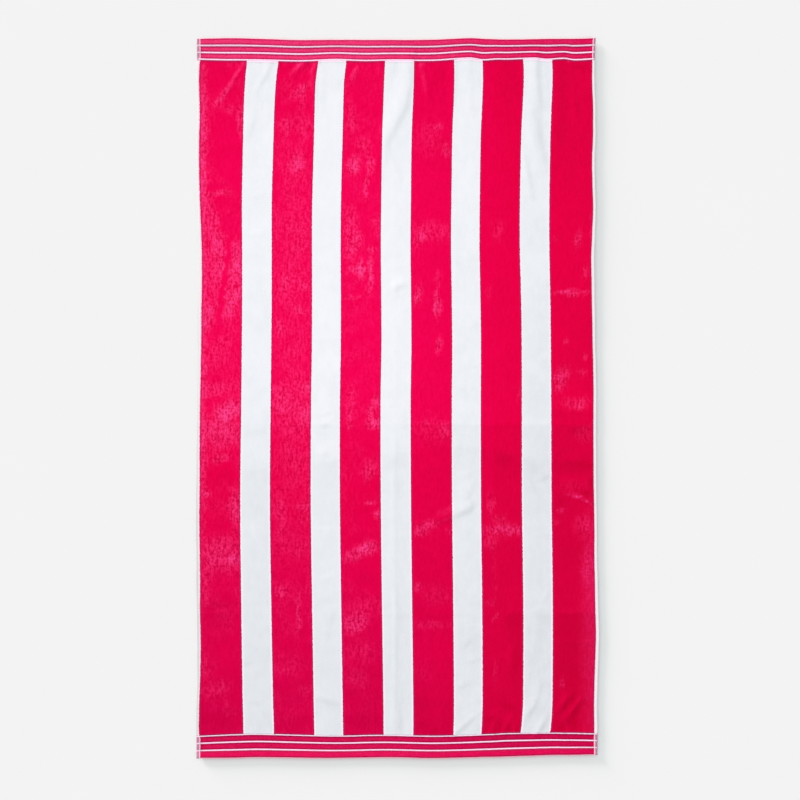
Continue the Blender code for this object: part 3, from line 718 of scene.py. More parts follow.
def nap_and_painted_light_at(u, v):
    """The painted light and shade on the pink and on the white, the brushing of the pile with some painted
    highlights, and painted highlights alone.
    """
    x, y = spread(u, v)
    step = 3 * MM
    ahead = lift(x + TO_LIGHT[0] * step, y + TO_LIGHT[1] * step)
    behind = lift(x - TO_LIGHT[0] * step, y - TO_LIGHT[1] * step)
    facing = (behind - ahead) / (2 * step)
    curling = (curl(u + MM, v) - curl(u - MM, v)) / (2 * MM)
    x, y = x / MM, y / MM
    x_bent = x + 5.0 * mottle(x, y, 14.0, 63) + 2.0 * mottle(x, y, 5.0, 67)
    y_bent = y + 5.0 * mottle(x, y, 14.0, 64) + 2.0 * mottle(x, y, 5.0, 68)
    x_near, y_near = (x + x_bent) / 2, (y + y_bent) / 2

    # painted light falloff: lighter in the upper part and at the left, darker towards the bottom and the
    # right
    nap_and_shade = read(PAINTED_FALLOFF_ALONG, y) * read(PAINTED_FALLOFF_ACROSS, x)
    nap_and_shade += 0.020 * mottle(x, y, 46.0, 61) + 0.020 * mottle(x, y, 130.0, 62)
    # painted light above and painted shade below the lines where the towel was folded
    fold = line_shading(x, y_near, PRESSED_LINE, 0.045, 0.06, 160) * (0.3 + 0.7 * ease((x + 60) / 160))
    pale = nap_and_shade + 1.2 * fold
    nap_and_shade = nap_and_shade + fold + patches(SHADES, x_near, y_near)
    nap_and_shade += ease((x - 130) / 60) * line_shading(x, y_near, LOWER_LINE, 0.02, 0.05, 110)
    nap_and_shade += ease((x - 375) / 4) * line_shading(x, y_near, RIGHT_LINE, 0.04, 0.06, 48)
    nap_and_shade += ease((x - 260) / 30) * line_shading(x, y_near, BOTTOM_LINE, 0.04, 0.07, 150)
    # painted shade where the right edge curls up towards the light, so that it shows no lighter
    nap_and_shade -= 0.8 * np.clip(curling, 0.0, 0.2) * np.where(x > 0, 1.0, 0.0)

    pale += line_shading(x, y_near, LOWER_LINE, 0.01, 0.10, 170)
    # painted shade on the white beyond the middle fold, on its side away from the light
    past_fold = x - MIDDLE_FOLD[0]
    past_fold = ease(past_fold / 3.5) * ease((34 - past_fold) / 30)
    pale -= past_fold * (0.02 + 0.07 * ease((-70 - y) / 80))
    pale += patches(PALE_SHADES, x_near, y_near) + 0.04 * mottle(x, y, 16.0, 69)

    leftwards = ease((150 - x) / 400)
    brushed_and_lit = patches(BRUSHED, x_bent, y_bent)
    brushed_and_lit += 0.08 * leftwards * mottle(x, y, 30.0, 65) + 0.04 * leftwards
    painted_highlight = patches(PAINTED_HIGHLIGHTS, x_bent, y_bent)
    # painted highlight where a slope faces the light
    sloping = np.clip(GLOW_ON_SLOPE * (facing - GENTLE_SLOPE), 0.0, 0.5)
    painted_highlight += sloping * (0.04 + 0.86 * ease((y + 700) / 500))
    return nap_and_shade, pale, brushed_and_lit, painted_highlight


# --- materials ------------------------------------------------------------------


def paint(red, green, blue):
    """The colour a cloth needs to show as this one under the scene's light."""
    shares = []
    for level in (red, green, blue):
        c = level / 255
        linear = c / 12.92 if c <= 0.04045 else ((c + 0.055) / 1.055) ** 2.4
        shares.append(linear / LIGHT)
    return (*shares, 1.0)


class Amount:
    """A number that a material works out anew at each place. Comparisons give 1 or 0."""

    def __init__(self, finish, socket):
        self.finish = finish
        self.socket = socket

    def __add__(self, other):
        return self.finish.maths("ADD", self, other)

    def __sub__(self, other):
        return self.finish.maths("SUBTRACT", self, other)

    def __rsub__(self, other):
        return self.finish.maths("SUBTRACT", other, self)

    def __mul__(self, other):
        return self.finish.maths("MULTIPLY", self, other)

    def __truediv__(self, other):
        return self.finish.maths("DIVIDE", self, other)

    def __abs__(self):
        return self.finish.maths("ABSOLUTE", self)

    def __lt__(self, limit):
        return self.finish.maths("LESS_THAN", self, limit)

    def __gt__(self, limit):
        return self.finish.maths("GREATER_THAN", self, limit)

    def at_least(self, limit):
        return self.finish.maths("MAXIMUM", self, limit)

    def at_most(self, limit):
        return self.finish.maths("MINIMUM", self, limit)

    def between(self, low, high):
        """0 below low and 1 above high, in a straight line."""
        return self.finish.maths("DIVIDE", self - low, high - low, clamp=True)

    def humps(self):
        """Rounded humps from 0 to 1, one for each whole number."""
        return abs(self.finish.maths("SINE", self * math.pi))


class Finish:
    """A procedural material, put together by short calls."""

    def __init__(self, name, sheen=0.0, sheen_tint=(1.0, 1.0, 1.0, 1.0), specular=0.25):
        self.material = bpy.data.materials.new(name)
        self.material.use_nodes = True
        self.tree = self.material.node_tree
        self.tree.nodes.clear()
        output = self.tree.nodes.new("ShaderNodeOutputMaterial")
        self.shader = self.tree.nodes.new("ShaderNodeBsdfPrincipled")
        self.tree.links.new(self.shader.outputs["BSDF"], output.inputs["Surface"])
        self.shader.inputs["Specular IOR Level"].default_value = specular
        self.shader.inputs["Sheen Weight"].default_value = sheen
        self.shader.inputs["Sheen Roughness"].default_value = 0.45
        self.shader.inputs["Sheen Tint"].default_value = sheen_tint

    def feed(self, node, inputs):
        """Joins a node's inputs to the nodes that work them out, or sets them to values."""
        for name, value in inputs.items():
            if isinstance(value, Amount):
                value = value.socket
            if isinstance(value, bpy.types.NodeSocket):
                self.tree.links.new(value, node.inputs[name])
            else:
                node.inputs[name].default_value = value

    def maths(self, operation, first, second=0.0, clamp=False):
        node = self.tree.nodes.new("ShaderNodeMath")
        node.operation = operation
        node.use_clamp = clamp
        self.feed(node, {0: first, 1: second})
        return Amount(self, node.outputs[0])

    def cloth_place(self):
        node = self.tree.nodes.new("ShaderNodeUVMap")
        node.uv_map = "cloth"
        return node.outputs["UV"]

    def parts(self, vector):
        node = self.tree.nodes.new("ShaderNodeSeparateXYZ")
        self.feed(node, {0: vector})
        return Amount(self, node.outputs["X"]), Amount(self, node.outputs["Y"])

    def field(self, name):
        node = self.tree.nodes.new("ShaderNodeAttribute")
        node.attribute_type = "GEOMETRY"
        node.attribute_name = name
        return Amount(self, node.outputs["Fac"])

    def grain(self, vector, size, detail=2.0, roughness=0.5, squeeze=(1.0, 1.0)):
        """Cloudy noise between 0 and 1, with blots about as wide as size."""
        if squeeze != (1.0, 1.0):
            mapping = self.tree.nodes.new("ShaderNodeMapping")
            self.feed(mapping, {"Vector": vector, "Scale": (*squeeze, 1.0)})
            vector = mapping.outputs[0]
        node = self.tree.nodes.new("ShaderNodeTexNoise")
        node.noise_dimensions = "2D"
        self.feed(node, {"Vector": vector, "Scale": 1 / size, "Detail": detail, "Roughness": roughness})
        return Amount(self, node.outputs["Fac"])

    def tufts(self, vector, size, randomness=1.0):
        """Cells about as wide as size: the distance from a cell's middle, a number of
        the cell's own, and where its middle is, across and along."""
        node = self.tree.nodes.new("ShaderNodeTexVoronoi")
        node.voronoi_dimensions = "2D"
        self.feed(node, {"Vector": vector, "Scale": 1 / size, "Randomness": randomness})
        own, _ = self.parts(node.outputs["Color"])
        return Amount(self, node.outputs["Distance"]), own, *self.parts(node.outputs["Position"])

    def blend(self, share, first, second):
        node = self.tree.nodes.new("ShaderNodeMix")
        node.data_type = "RGBA"
        self.feed(node, {0: share, 6: first, 7: second})
        return node.outputs[2]

    def shades(self, share, stops):
        """Colours by how great a share is. A stop is a place and a colour as it shows."""
        node = self.tree.nodes.new("ShaderNodeValToRGB")
        self.feed(node, {0: share})
        ramp = node.color_ramp
        while len(ramp.elements) < len(stops):
            ramp.elements.new(0.5)
        for element, (place, colour) in zip(ramp.elements, stops):
            element.position = place
            element.color = paint(*colour)
        return node.outputs["Color"]

    def relief(self, height, depth, strength, under=None):
        node = self.tree.nodes.new("ShaderNodeBump")
        self.feed(node, {"Height": height, "Distance": depth, "Strength": strength})
        if under is not None:
            self.feed(node, {"Normal": under})
        return node.outputs["Normal"]

    def done(self, colour, roughness, normal):
        self.feed(self.shader, {"Base Color": colour, "Roughness": roughness, "Normal": normal})
        return self.material


def stripe_distance(across):
    """How far a place is from the nearest white stripe, negative inside it, and
    whether it is where white stripes are."""
    distance = abs(across)
    wrapped = across.finish.maths("PINGPONG", distance, (WHITE_STRIPE + PINK_STRIPE) / 2)
    return wrapped - WHITE_STRIPE / 2, distance < STRIPED_REACH


def white_share(across):
    """1 in the white stripes and 0 in the pink ones, for a place across the cloth."""
    past, striped = stripe_distance(across)
    return (past < 0.0) * striped


def velour(name, sheen, sheen_tint):
    """Cut pile: tufts of one colour each, with brushing here and there, painted light and shade, and
    painted highlights.
    """
    finish = Finish(name, sheen, sheen_tint, specular=0.0)
    place = finish.cloth_place()
    distance, own, across, along = finish.tufts(place, TUFT)
    past, striped = stripe_distance(across)
    white = (past < 0.0) * striped

    # the pile parts where the colours meet and beside the hems and borders, with painted shade in the
    # parting, and the white pile's crest beside it takes a painted highlight
    reach = abs(across)
    side = WIDTH / 2 - SIDE_HEM
    near_side = (reach > side - PARTING) * (reach < side - TUFT)
    near_top = along > LENGTH / 2 - TOP_BORDER - END_PARTING
    near_bottom = along < BOTTOM_BORDER + END_PARTING - LENGTH / 2
    parted_shade = (past < PARTING) * striped + near_side + near_top + near_bottom
    parted_shade = parted_shade.at_most(1.0) * 0.50
    crest = (past.between(-0.0050, -0.0018) + near_top).at_most(1.0)

    specks = finish.grain(place, 0.0066, 3.0, 0.6)
    streaks = finish.grain(place, 0.0054, 2.0, 0.6, squeeze=(1.0, 0.30))
    patchy = finish.grain(place, 0.0150, 3.0, 0.6, squeeze=(1.0, 0.45)) - 0.5
    mixed = specks * 0.5 + streaks * 0.5
    curls = abs(finish.grain(place, 0.0100, 1.0, 0.4) - 0.5).between(0.0, 0.045)
    broken = mixed.between(0.43, 0.57) * (curls * 0.6 + 0.4)
    fluffed_and_lit = finish.field("brushed_and_lit").at_least(0.0)

    # darker pile is less uneven than light pile
    nap_and_shade = finish.field("nap_and_shade")
    uneven = (broken - 0.45) * (fluffed_and_lit * 1.8).at_most(0.50)
    uneven = uneven + patchy * 0.24 + (specks - 0.5) * 0.10 + (streaks - 0.5) * 0.14 + (own - 0.5) * 0.05
    level = (nap_and_shade + uneven * (nap_and_shade.between(0.30, 0.80) * 0.75 + 0.62)) * 0.8
    base = finish.shades(
        level,
        (
            (0.00, (192, 1, 52)),
            (0.20, (212, 1, 64)),
            (0.40, (233, 0, 71)),
            (0.60, (244, 1, 80)),
            (0.78, (252, 6, 90)),
            (1.00, (260, 26, 108)),
        ),
    )
    # the pink is a little warmer at the right and cooler at the lower left
    warmer = across.between(0.10, 0.28) * 0.12
    base = finish.blend(warmer, base, paint(228, 1, 0))
    cooler = across.between(0.10, -0.10) * along.between(-0.25, -0.50) * 0.016
    base = finish.blend(cooler, base, paint(218, 1, 200))

    grainy = (mixed - 0.5) * 1.7 + 0.42 + (broken - 0.45) * 0.22 + patchy * 0.8
    grainy = grainy.at_least(0.05).at_most(1.0)
    # the lit colour comes in where the pile is brushed, and as painted highlights
    brushed_and_highlight = fluffed_and_lit * (fluffed_and_lit + 1.0) * grainy
    brushed_and_highlight = brushed_and_highlight + finish.field("painted_highlight") * (broken * 0.6 + 0.6) + broken * 0.018
    lit = finish.blend(level.between(0.1, 0.55), paint(240, 48, 130), paint(256, 72, 146))
    pink = finish.blend(brushed_and_highlight.at_most(0.9), base, lit)
    pink = finish.blend(parted_shade, pink, paint(128, 48, 102))

    # the white pile is painted lighter and darker: painted light falloff, and painted light and shade along
    # creases and folds
    pale = finish.shades(
        finish.field("pale") + patchy * 0.30 + (specks - 0.5) * 0.12,
        (
            (0.00, (220, 223, 228)),
            (0.20, (227, 230, 235)),
            (0.50, (235, 238, 243)),
            (0.80, (243, 245, 250)),
            (1.00, (247, 249, 254)),
        ),
    )
    # painted highlight: the white pile beside a pink stripe and beside the top border is painted lighter
    pale = finish.blend(crest, pale, paint(262, 236, 250))
    colour = finish.blend(white, pink, pale)

    fibres = finish.grain(place, 0.00042, 2.0, 0.6)
    coarse = finish.relief(mixed, 0.0008, 0.35)
    normal = finish.relief(1.0 - distance + fibres * 0.45, 0.0003, 0.5, coarse)
    return finish.done(colour, fibres * 0.12 + 0.86, normal)


def flat_weave_height(finish, place, float_length, pitch):
    """The relief of a plain weave whose threads show as short bricks."""
    across, along = finish.parts(place)
    row = along / pitch
    odd = finish.maths("MODULO", finish.maths("FLOOR", row), 2.0)
    bricks = (across / float_length + odd * 0.5).humps()
    return finish.maths("POWER", bricks, 0.6) * finish.maths("POWER", row.humps(), 0.6)


def near_lines(along, extra):
    """1 where a place is in any of the borders' white lines, or up to extra beside it."""
    from_end = LENGTH / 2 - abs(along)
    top = along > 0.0
    found = []
    for lines, share in ((TOP_LINES, top), (BOTTOM_LINES, 1.0 - top)):
        for line, half_width in lines:
            inside = (from_end > line - half_width - extra) * (from_end < line + half_width + extra)
            found.append(inside * share)
    return sum(found[1:], found[0]).at_most(1.0)


def flat_weave():
    """The border's flat weave: pink weft over a paler warp, with white lines."""
    finish = Finish("border_weave", sheen=0.04, sheen_tint=(1.0, 0.5, 0.7, 1.0), specular=0.0)
    place = finish.cloth_place()
    across, along = finish.parts(place)
    height = flat_weave_height(finish, place, 0.0019, 0.00095)
    nap_and_shade = finish.field("nap_and_shade")
    cloud = finish.grain(place, 0.0048, 3.0, 0.6)
    slubs = finish.grain(place, 0.0011, 2.0, 0.5, squeeze=(0.06, 1.0))
    # the border's pink carries the painted light falloff, darker towards the bottom and the right
    pink = finish.shades(
        nap_and_shade * 0.8 + 0.2 + (cloud - 0.5) * 0.45 + (slubs - 0.5) * 0.50,
        (
            (0.00, (168, 8, 60)),
            (0.20, (202, 4, 70)),
            (0.40, (220, 10, 82)),
            (0.60, (240, 32, 102)),
            (0.85, (254, 66, 130)),
        ),
    )
    gaps = height.between(0.42, 0.08) * nap_and_shade * 0.2
    colour = finish.blend(gaps, pink, paint(250, 150, 190))
    # painted shade beside each white line, where its floats stand up from the weave
    colour = finish.blend(near_lines(along, 0.0038) * 0.46, colour, paint(118, 20, 60))
    colour = finish.blend(near_lines(along, 0.0), colour, paint(264, 222, 250))

    # past the last line the white stripes' own yarn shows
    from_end = LENGTH / 2 - abs(along)
    top = along > 0.0
    bottom_line, top_line = BOTTOM_LINES[-1][0], TOP_LINES[-1][0]
    into_white = (from_end > top * (top_line - bottom_line) + bottom_line) * white_share(across)
    last_white = finish.blend(top, paint(240, 234, 242), paint(262, 232, 250))
    colour = finish.blend(into_white, colour, last_white)

    # the end hem turns down to a rim: just inside it the weave is painted darker, painted shade where it
    # turns down, and the rim is painted lighter, a painted highlight on the fold's edge
    turning_shade = (from_end < top * -0.0012 + 0.0056) * (top * -0.10 + 0.50)
    colour = finish.blend(turning_shade, colour, paint(118, 10, 60))
    rim = (from_end < top * -0.0017 + 0.0024) * 0.85
    colour = finish.blend(rim, colour, finish.blend(top, paint(264, 190, 208), paint(262, 214, 228)))
    fibres = finish.grain(place, 0.0003, 2.0, 0.6)
    normal = finish.relief(height + fibres * 0.25, 0.0003, 0.6)
    return finish.done(colour, fibres * 0.18 + 0.74, normal)


def side_hem():
    """The folded sides: white along the pile, and paler pink along the borders."""
    finish = Finish("side_hem_weave", sheen=0.03, specular=0.1)
    place = finish.cloth_place()
    across, along = finish.parts(place)
    height = flat_weave_height(finish, place, 0.0016, 0.0011)
    cloud = finish.grain(place, 0.006, 3.0, 0.6)
    from_side = WIDTH / 2 - abs(across)
    pale = finish.blend(cloud, paint(240, 234, 238), paint(252, 246, 250))

    # the outer half of the left hem is painted darker lower down, painted shade where it turns away from
    # the light
    lower_left = along.between(0.45, -0.1) * (across < 0.0)
    outer_half = from_side.between(0.0041, 0.0029) * along.between(0.05, -0.35)
    pale = finish.blend(lower_left * outer_half, pale, paint(218, 214, 219))
    # painted shade on the rounded outer edge, darker at the lower left
    edge = finish.blend(lower_left, paint(222, 212, 218), paint(190, 184, 188))
    pale = finish.blend(from_side.between(0.0022, 0.0004), pale, edge)
    # painted highlight along the hem's inner side beside the pile
    pale = finish.blend(from_side.between(0.0040, 0.0058) * 0.9, pale, paint(264, 224, 244))

    dusky = finish.blend(cloud, paint(172, 112, 138), paint(206, 150, 172))
    bright = finish.blend(cloud, paint(250, 176, 204), paint(255, 206, 226))
    banded = finish.blend(from_side > 0.0048, dusky, bright)
    in_border = (along > LENGTH / 2 - TOP_BORDER) + (along < BOTTOM_BORDER - LENGTH / 2)
    colour = finish.blend(in_border, pale, banded)
    # painted shade in the low places of the weave
    colour = finish.blend(height.between(0.35, 0.0) * 0.18, colour, paint(204, 180, 190))
    return finish.done(colour, cloud * 0.14 + 0.78, finish.relief(height, 0.0003, 0.45))


def looped_back():
    """The back: uncut loops in the same stripes, and the hems folded over on it."""
    finish = Finish("looped_back", sheen=0.10)
    place = finish.cloth_place()
    distance, own, across, along = finish.tufts(place, LOOP, 0.75)
    in_border = abs(along) > LENGTH / 2 - BACK_BORDER
    hem = abs(across) > WIDTH / 2 - BACK_HEM
    cloud = finish.grain(place, 0.012, 3.0, 0.6)
    shade = own * 0.4 + cloud * 0.6
    pink = finish.blend(shade, paint(196, 12, 66), paint(240, 42, 104))
    pale = finish.blend(shade, paint(220, 223, 226), paint(246, 247, 248))
    colour = finish.blend(white_share(across), pink, pale)
    colour = finish.blend(in_border, colour, pink)
    colour = finish.blend(hem, colour, pale)
    loops = abs(1.0 - distance - 0.55) * (1.0 - in_border.at_least(hem))
    return finish.done(colour, cloud * 0.14 + 0.82, finish.relief(loops, 0.0011, 0.8))


def thread(name, dark, light, twist):
    """Twisted cotton yarn."""
    finish = Finish(name, sheen=0.10)
    place = finish.cloth_place()
    across, along = finish.parts(place)
    plies = (across / twist + along / twist).humps()
    cloud = finish.grain(place, 0.0035, 3.0, 0.6)
    colour = finish.blend(plies * 0.35 + cloud * 0.65, dark, light)
    return finish.done(colour, cloud * 0.2 + 0.66, finish.relief(plies, 0.00012, 0.6))


def floor_finish():
    """Plain pale floor, very slightly uneven."""
    finish = Finish("plain_floor", specular=0.0)
    place = finish.tree.nodes.new("ShaderNodeNewGeometry").outputs["Position"]
    cloud = finish.grain(place, 0.35, 2.0, 0.5)
    colour = finish.blend(cloud, paint(242.6, 242.6, 242.6), paint(243.4, 243.4, 243.4))
    grit = finish.grain(place, 0.0015, 2.0, 0.5)
    return finish.done(colour, grit * 0.06 + 0.92, finish.relief(grit, 0.00002, 0.2))


PINK_VELOUR = velour("pink_velour", 0.10, (1.0, 0.10, 0.40, 1.0))
WHITE_VELOUR = velour("white_velour", 0.08, (1.0, 1.0, 1.0, 1.0))
BORDER = flat_weave()
HEM = side_hem()
BACK = looped_back()
WHITE_YARN = thread("white_yarn", paint(264, 226, 252), paint(264, 238, 260), 0.0008)
HEM_THREAD = thread("hem_thread", paint(256, 236, 248), paint(264, 250, 258), 0.0006)
PINK_THREAD = thread("pink_thread", paint(196, 16, 76), paint(236, 60, 118), 0.0006)


# --- pieces ---------------------------------------------------------------------


def add_layout(mesh, name, places):
    """A flat layout of a mesh's corners, each at a place."""
    layer = mesh.uv_layers.new(name=name)
    layer.data.foreach_set("uv", places.astype(np.float32).ravel())


def corner_points(mesh):
    """Which point each corner of a mesh's faces is at."""
    corners = np.zeros(len(mesh.loops), dtype=np.int32)
    mesh.loops.foreach_get("vertex_index", corners)
    return corners


def add_piece(name, points, faces, materials, cloth, slots=None):
    """A mesh piece. cloth holds each point's u and v, for the materials."""
    mesh = bpy.data.meshes.new(name)
    mesh.from_pydata([tuple(p) for p in points], [], faces)
    for material in materials:
        mesh.materials.append(material)
    if slots is not None:
        mesh.polygons.foreach_set("material_index", slots)
    add_layout(mesh, "cloth", np.asarray(cloth)[corner_points(mesh)])
    mesh.update()
    mesh.shade_smooth()
    piece = bpy.data.objects.new(name, mesh)
    bpy.context.scene.collection.objects.link(piece)
    return piece


def add_nap_and_painted_light(piece, cloth):
    """Gives each point of a piece the cloth's painted light and shade, brushing and painted highlights
    there.
    """
    for name, values in zip(("nap_and_shade", "pale", "brushed_and_lit", "painted_highlight"), nap_and_painted_light_at(cloth[:, 0], cloth[:, 1])):
        attribute = piece.data.attributes.new(name, "FLOAT", "POINT")
        attribute.data.foreach_set("value", values.astype(np.float32))


def grid_faces(wide, tall):
    """The cells between points numbered row by row."""
    starts = [j * wide + i for j in range(tall - 1) for i in range(wide - 1)]
    return [(a, a + 1, a + 1 + wide, a + wide) for a in starts]


def spaced(start, end, longest, even=False):
    """Steps from start to end no longer than longest, without the start."""
    count = max(math.ceil((end - start) / longest - 1e-6), 1)
    if even and count % 2:
        count += 1
    return [start + (end - start) * (i + 1) / count for i in range(count)]


def column_places():
    """The mesh lines across the cloth, an even number of cells."""
    edge = [step * MM - WIDTH / 2 for step in SIDE_STEPS]
    inner = spaced(edge[-1], -edge[-1], CELL_ACROSS, even=True)
    return np.array(edge + inner + [-place for place in reversed(edge[:-1])])


def end_places(border):
    """The mesh lines from an end of the cloth to just inside its pile."""
    places = [step * MM - LENGTH / 2 for step in END_STEPS]
    pile_line = border - LENGTH / 2
    places += spaced(places[-1], pile_line + PILE_STEPS[0] * MM, CELL_ALONG)
    return places + [pile_line + step * MM for step in PILE_STEPS[1:]]


def row_places():
    """The mesh lines along the cloth, an even number of cells."""
    lower, upper = end_places(BOTTOM_BORDER), end_places(TOP_BORDER)
    middle = spaced(lower[-1], -upper[-1], CELL_ALONG)
    if (len(lower) + len(upper) + len(middle)) % 2:
        middle = spaced(lower[-1], -upper[-1], (-upper[-1] - lower[-1]) / (len(middle) + 1))
    return np.array(lower + middle + [-place for place in reversed(upper[:-1])])


def in_white(u):
    """Whether a place across the pile is in a white stripe."""
    repeat = WHITE_STRIPE + PINK_STRIPE
    return abs((u + repeat / 2) % repeat - repeat / 2) < WHITE_STRIPE / 2 and abs(u) < STRIPED_REACH


def face_slot(u, v):
    """Which of the towel's materials a place on its face has."""
    if WIDTH / 2 - abs(u) < SIDE_HEM:
        return HEM_SLOT
    if LENGTH / 2 - abs(v) < (TOP_BORDER if v > 0 else BOTTOM_BORDER):
        return BORDER_SLOT
    return int(in_white(u))


def towel_piece():
    """The towel: its face, its back and the rounded edge between them, closed."""
    across, along = column_places(), row_places()
    wide, tall = len(across), len(along)
    u, v = (grid.ravel() for grid in np.meshgrid(across, along))
    x, y, top, _ = face_and_back(u, v)
    u_back, v_back = (grid.ravel() for grid in np.meshgrid(across[::2], along[::2]))
    x_back, y_back, _, low = face_and_back(u_back, v_back)
    points = np.concatenate([centred(x, y, top), centred(x_back, y_back, low)])
    cloth = np.concatenate([np.stack([u, v], -1), np.stack([u_back, v_back], -1)])
    below = len(u)
    wide_back, tall_back = (wide + 1) // 2, (tall + 1) // 2

    faces = grid_faces(wide, tall)
    columns, rows = (across[:-1] + across[1:]) / 2, (along[:-1] + along[1:]) / 2
    slots = [face_slot(column, row) for row in rows for column in columns]
    under = grid_faces(wide_back, tall_back)
    faces += [tuple(below + corner for corner in reversed(face)) for face in under]
    slots += [BACK_SLOT] * len(under)

    rim_from = len(faces)
    rim = list(range(wide))
    rim += [j * wide + wide - 1 for j in range(1, tall)]
    rim += [(tall - 1) * wide + i for i in range(wide - 2, -1, -1)]
    rim += [j * wide for j in range(tall - 2, 0, -1)]
    for start in range(0, len(rim), 2):
        first, mid, last = rim[start], rim[start + 1], rim[(start + 2) % len(rim)]
        under = [below + (p // wide // 2) * wide_back + (p % wide) // 2 for p in (first, last)]
        faces.append((*under, last, mid, first))
        slots.append(HEM_SLOT if first % wide == last % wide else BORDER_SLOT)

    materials = [PINK_VELOUR, WHITE_VELOUR, BORDER, HEM, BACK]
    piece = add_piece("towel_cloth", points, faces, materials, cloth, slots)
    add_nap_and_painted_light(piece, cloth)
    add_bake_layout(piece.data, cloth, below, rim_from)
    return piece


def add_bake_layout(mesh, cloth, below, rim_from):
    """A second flat layout: the face on the left, the back beside it, the rim around."""
    from_left = cloth + (WIDTH / 2, LENGTH / 2)
    face = from_left * LAYOUT_SCALE + LAYOUT_MARGIN
    back = from_left * (BACK_SQUEEZE, LAYOUT_SCALE) + (BACK_FROM, LAYOUT_MARGIN)
    is_face = (np.arange(len(cloth)) < below)[:, None]
    at_edge = np.abs(cloth) > np.array((WIDTH / 2, LENGTH / 2)) - 1e-6
    outwards = np.where(at_edge, np.sign(cloth), 0.0)
    rim = np.where(is_face, face, face + outwards * RIM_GAP)
    corners = corner_points(mesh)
    starts = np.zeros(len(mesh.polygons), dtype=np.int32)
    mesh.polygons.foreach_get("loop_start", starts)
    in_rim = (np.arange(len(corners)) >= starts[rim_from])[:, None]
    layout = np.where(is_face, face, back)
    add_layout(mesh, "OFBake", np.where(in_rim, rim[corners], layout[corners]))
    mesh.uv_layers["cloth"].active = True
    mesh.uv_layers["cloth"].active_render = True


def between_rings(first, rings):
    """The faces that join rings of points, numbered on from first."""
    lows = [first + ring * SIDES for ring in range(rings - 1)]
    steps = [(k, (k + 1) % SIDES) for k in range(SIDES)]
    return [(low + k, low + n, low + SIDES + n, low + SIDES + k) for low in lows for k, n in steps]


def to_tip(first, tip):
    """The faces that close a ring of points to a tip."""
    return [(first + k, first + (k + 1) % SIDES, tip) for k in range(SIDES)]


def repeated(faces, points_each, count):
    """The faces of many copies of one form, numbered one after another."""
    return [tuple(copy * points_each + point for point in face) for copy in range(count) for face in faces]


def add_beads(name, middles, along, size, sunk, material):
    """Short rounded pieces of yarn that follow the cloth: floats and stitches.

    middles are their places, u and v, and along is the way that they point. size is half
    their length, width and height, and sunk is how far their middles lie under the face.
    """
    template = [(-1.0, 0.0, -0.7)]
    for share in (-0.55, 0.55):
        for k in range(SIDES):
            angle = math.tau * (k + 0.25) / SIDES
            template.append((share, math.cos(angle), math.sin(angle)))
    template.append((1.0, 0.0, -0.7))
    ends, sides, heights = (np.array(template) * size).T
    u, v = middles
    us = u[:, None] + ends * along[0] - sides * along[1]
    vs = v[:, None] + ends * along[1] + sides * along[0]
    us = np.clip(us, 0.1 * MM - WIDTH / 2, WIDTH / 2 - 0.1 * MM)
    cloth = np.stack([us.ravel(), vs.ravel()], -1)
    x, y, top, _ = face_and_back(*cloth.T)
    points = centred(x, y, top + np.tile(heights - sunk, len(u)))
    form = [face[::-1] for face in to_tip(1, 0)] + between_rings(1, 2) + to_tip(1 + SIDES, 1 + 2 * SIDES)
    return add_piece(name, points, repeated(form, len(template), len(u)), [material], cloth)


def jitter(random, count, most):
    """Small random shifts either way."""
    return random.uniform(-1, 1, count) * most


def line_floats():
    """The middles of the weft floats that make the borders' white lines."""
    us, vs = [], []
    for end, lines in ((1, TOP_LINES), (-1, BOTTOM_LINES)):
        for line, half_width in lines:
            for k, share in enumerate(FLOAT_ROWS):
                start = -WIDTH / 2 + FLOAT_MARGIN + k * FLOAT_PITCH / len(FLOAT_ROWS)
                us.append(np.arange(start, WIDTH / 2 - FLOAT_MARGIN, FLOAT_PITCH))
                vs.append(np.full(len(us[-1]), end * (LENGTH / 2 - line) + share * half_width))
    u, v = np.concatenate(us), np.concatenate(vs)
    random = np.random.default_rng(71)
    return u + jitter(random, len(u), 0.18 * MM), v + jitter(random, len(v), 0.12 * MM)


def stitches(half, first_row, second_row, seed):
    """Two rows of stitches: places along both, and places across them."""
    along = np.arange(-half + STITCH_MARGIN, half - STITCH_MARGIN, STITCH_PITCH)
    rows = np.repeat((first_row, second_row), len(along))
    rows = rows + jitter(np.random.default_rng(seed), len(rows), 0.1 * MM)
    return np.concatenate([along, along]), rows


def pile_edge_places():
    """Where the outermost tufts stand, and which way each leans out."""
    random = np.random.default_rng(74)
    us, vs, outs = [], [], []
    inner = WIDTH / 2 - SIDE_HEM
    for end, depth in ((1, TOP_BORDER), (-1, BOTTOM_BORDER)):
        for row, step in zip(END_TUFT_ROWS, (0.0, 0.5)):
            u = np.arange(1.2 * MM - inner, inner - 1.2 * MM, END_TUFT_PITCH) + step * END_TUFT_PITCH
            us.append(u)
            vs.append(np.full(len(u), end * (LENGTH / 2 - depth - row)))
            outs.append(np.tile((0.0, float(end)), (len(u), 1)))
    for side, row in ((-1, LEFT_TUFT_ROW), (1, RIGHT_TUFT_ROW)):
        v = np.arange(BOTTOM_BORDER - LENGTH / 2 + MM, LENGTH / 2 - TOP_BORDER - MM, SIDE_TUFT_PITCH)
        us.append(np.full(len(v), side * (inner - row)))
        vs.append(v)
        outs.append(np.tile((float(side), 0.0), (len(v), 1)))
    u, v, out = np.concatenate(us), np.concatenate(vs), np.concatenate(outs)
    return u + jitter(random, len(u), 0.4 * MM), v + jitter(random, len(v), 0.4 * MM), out


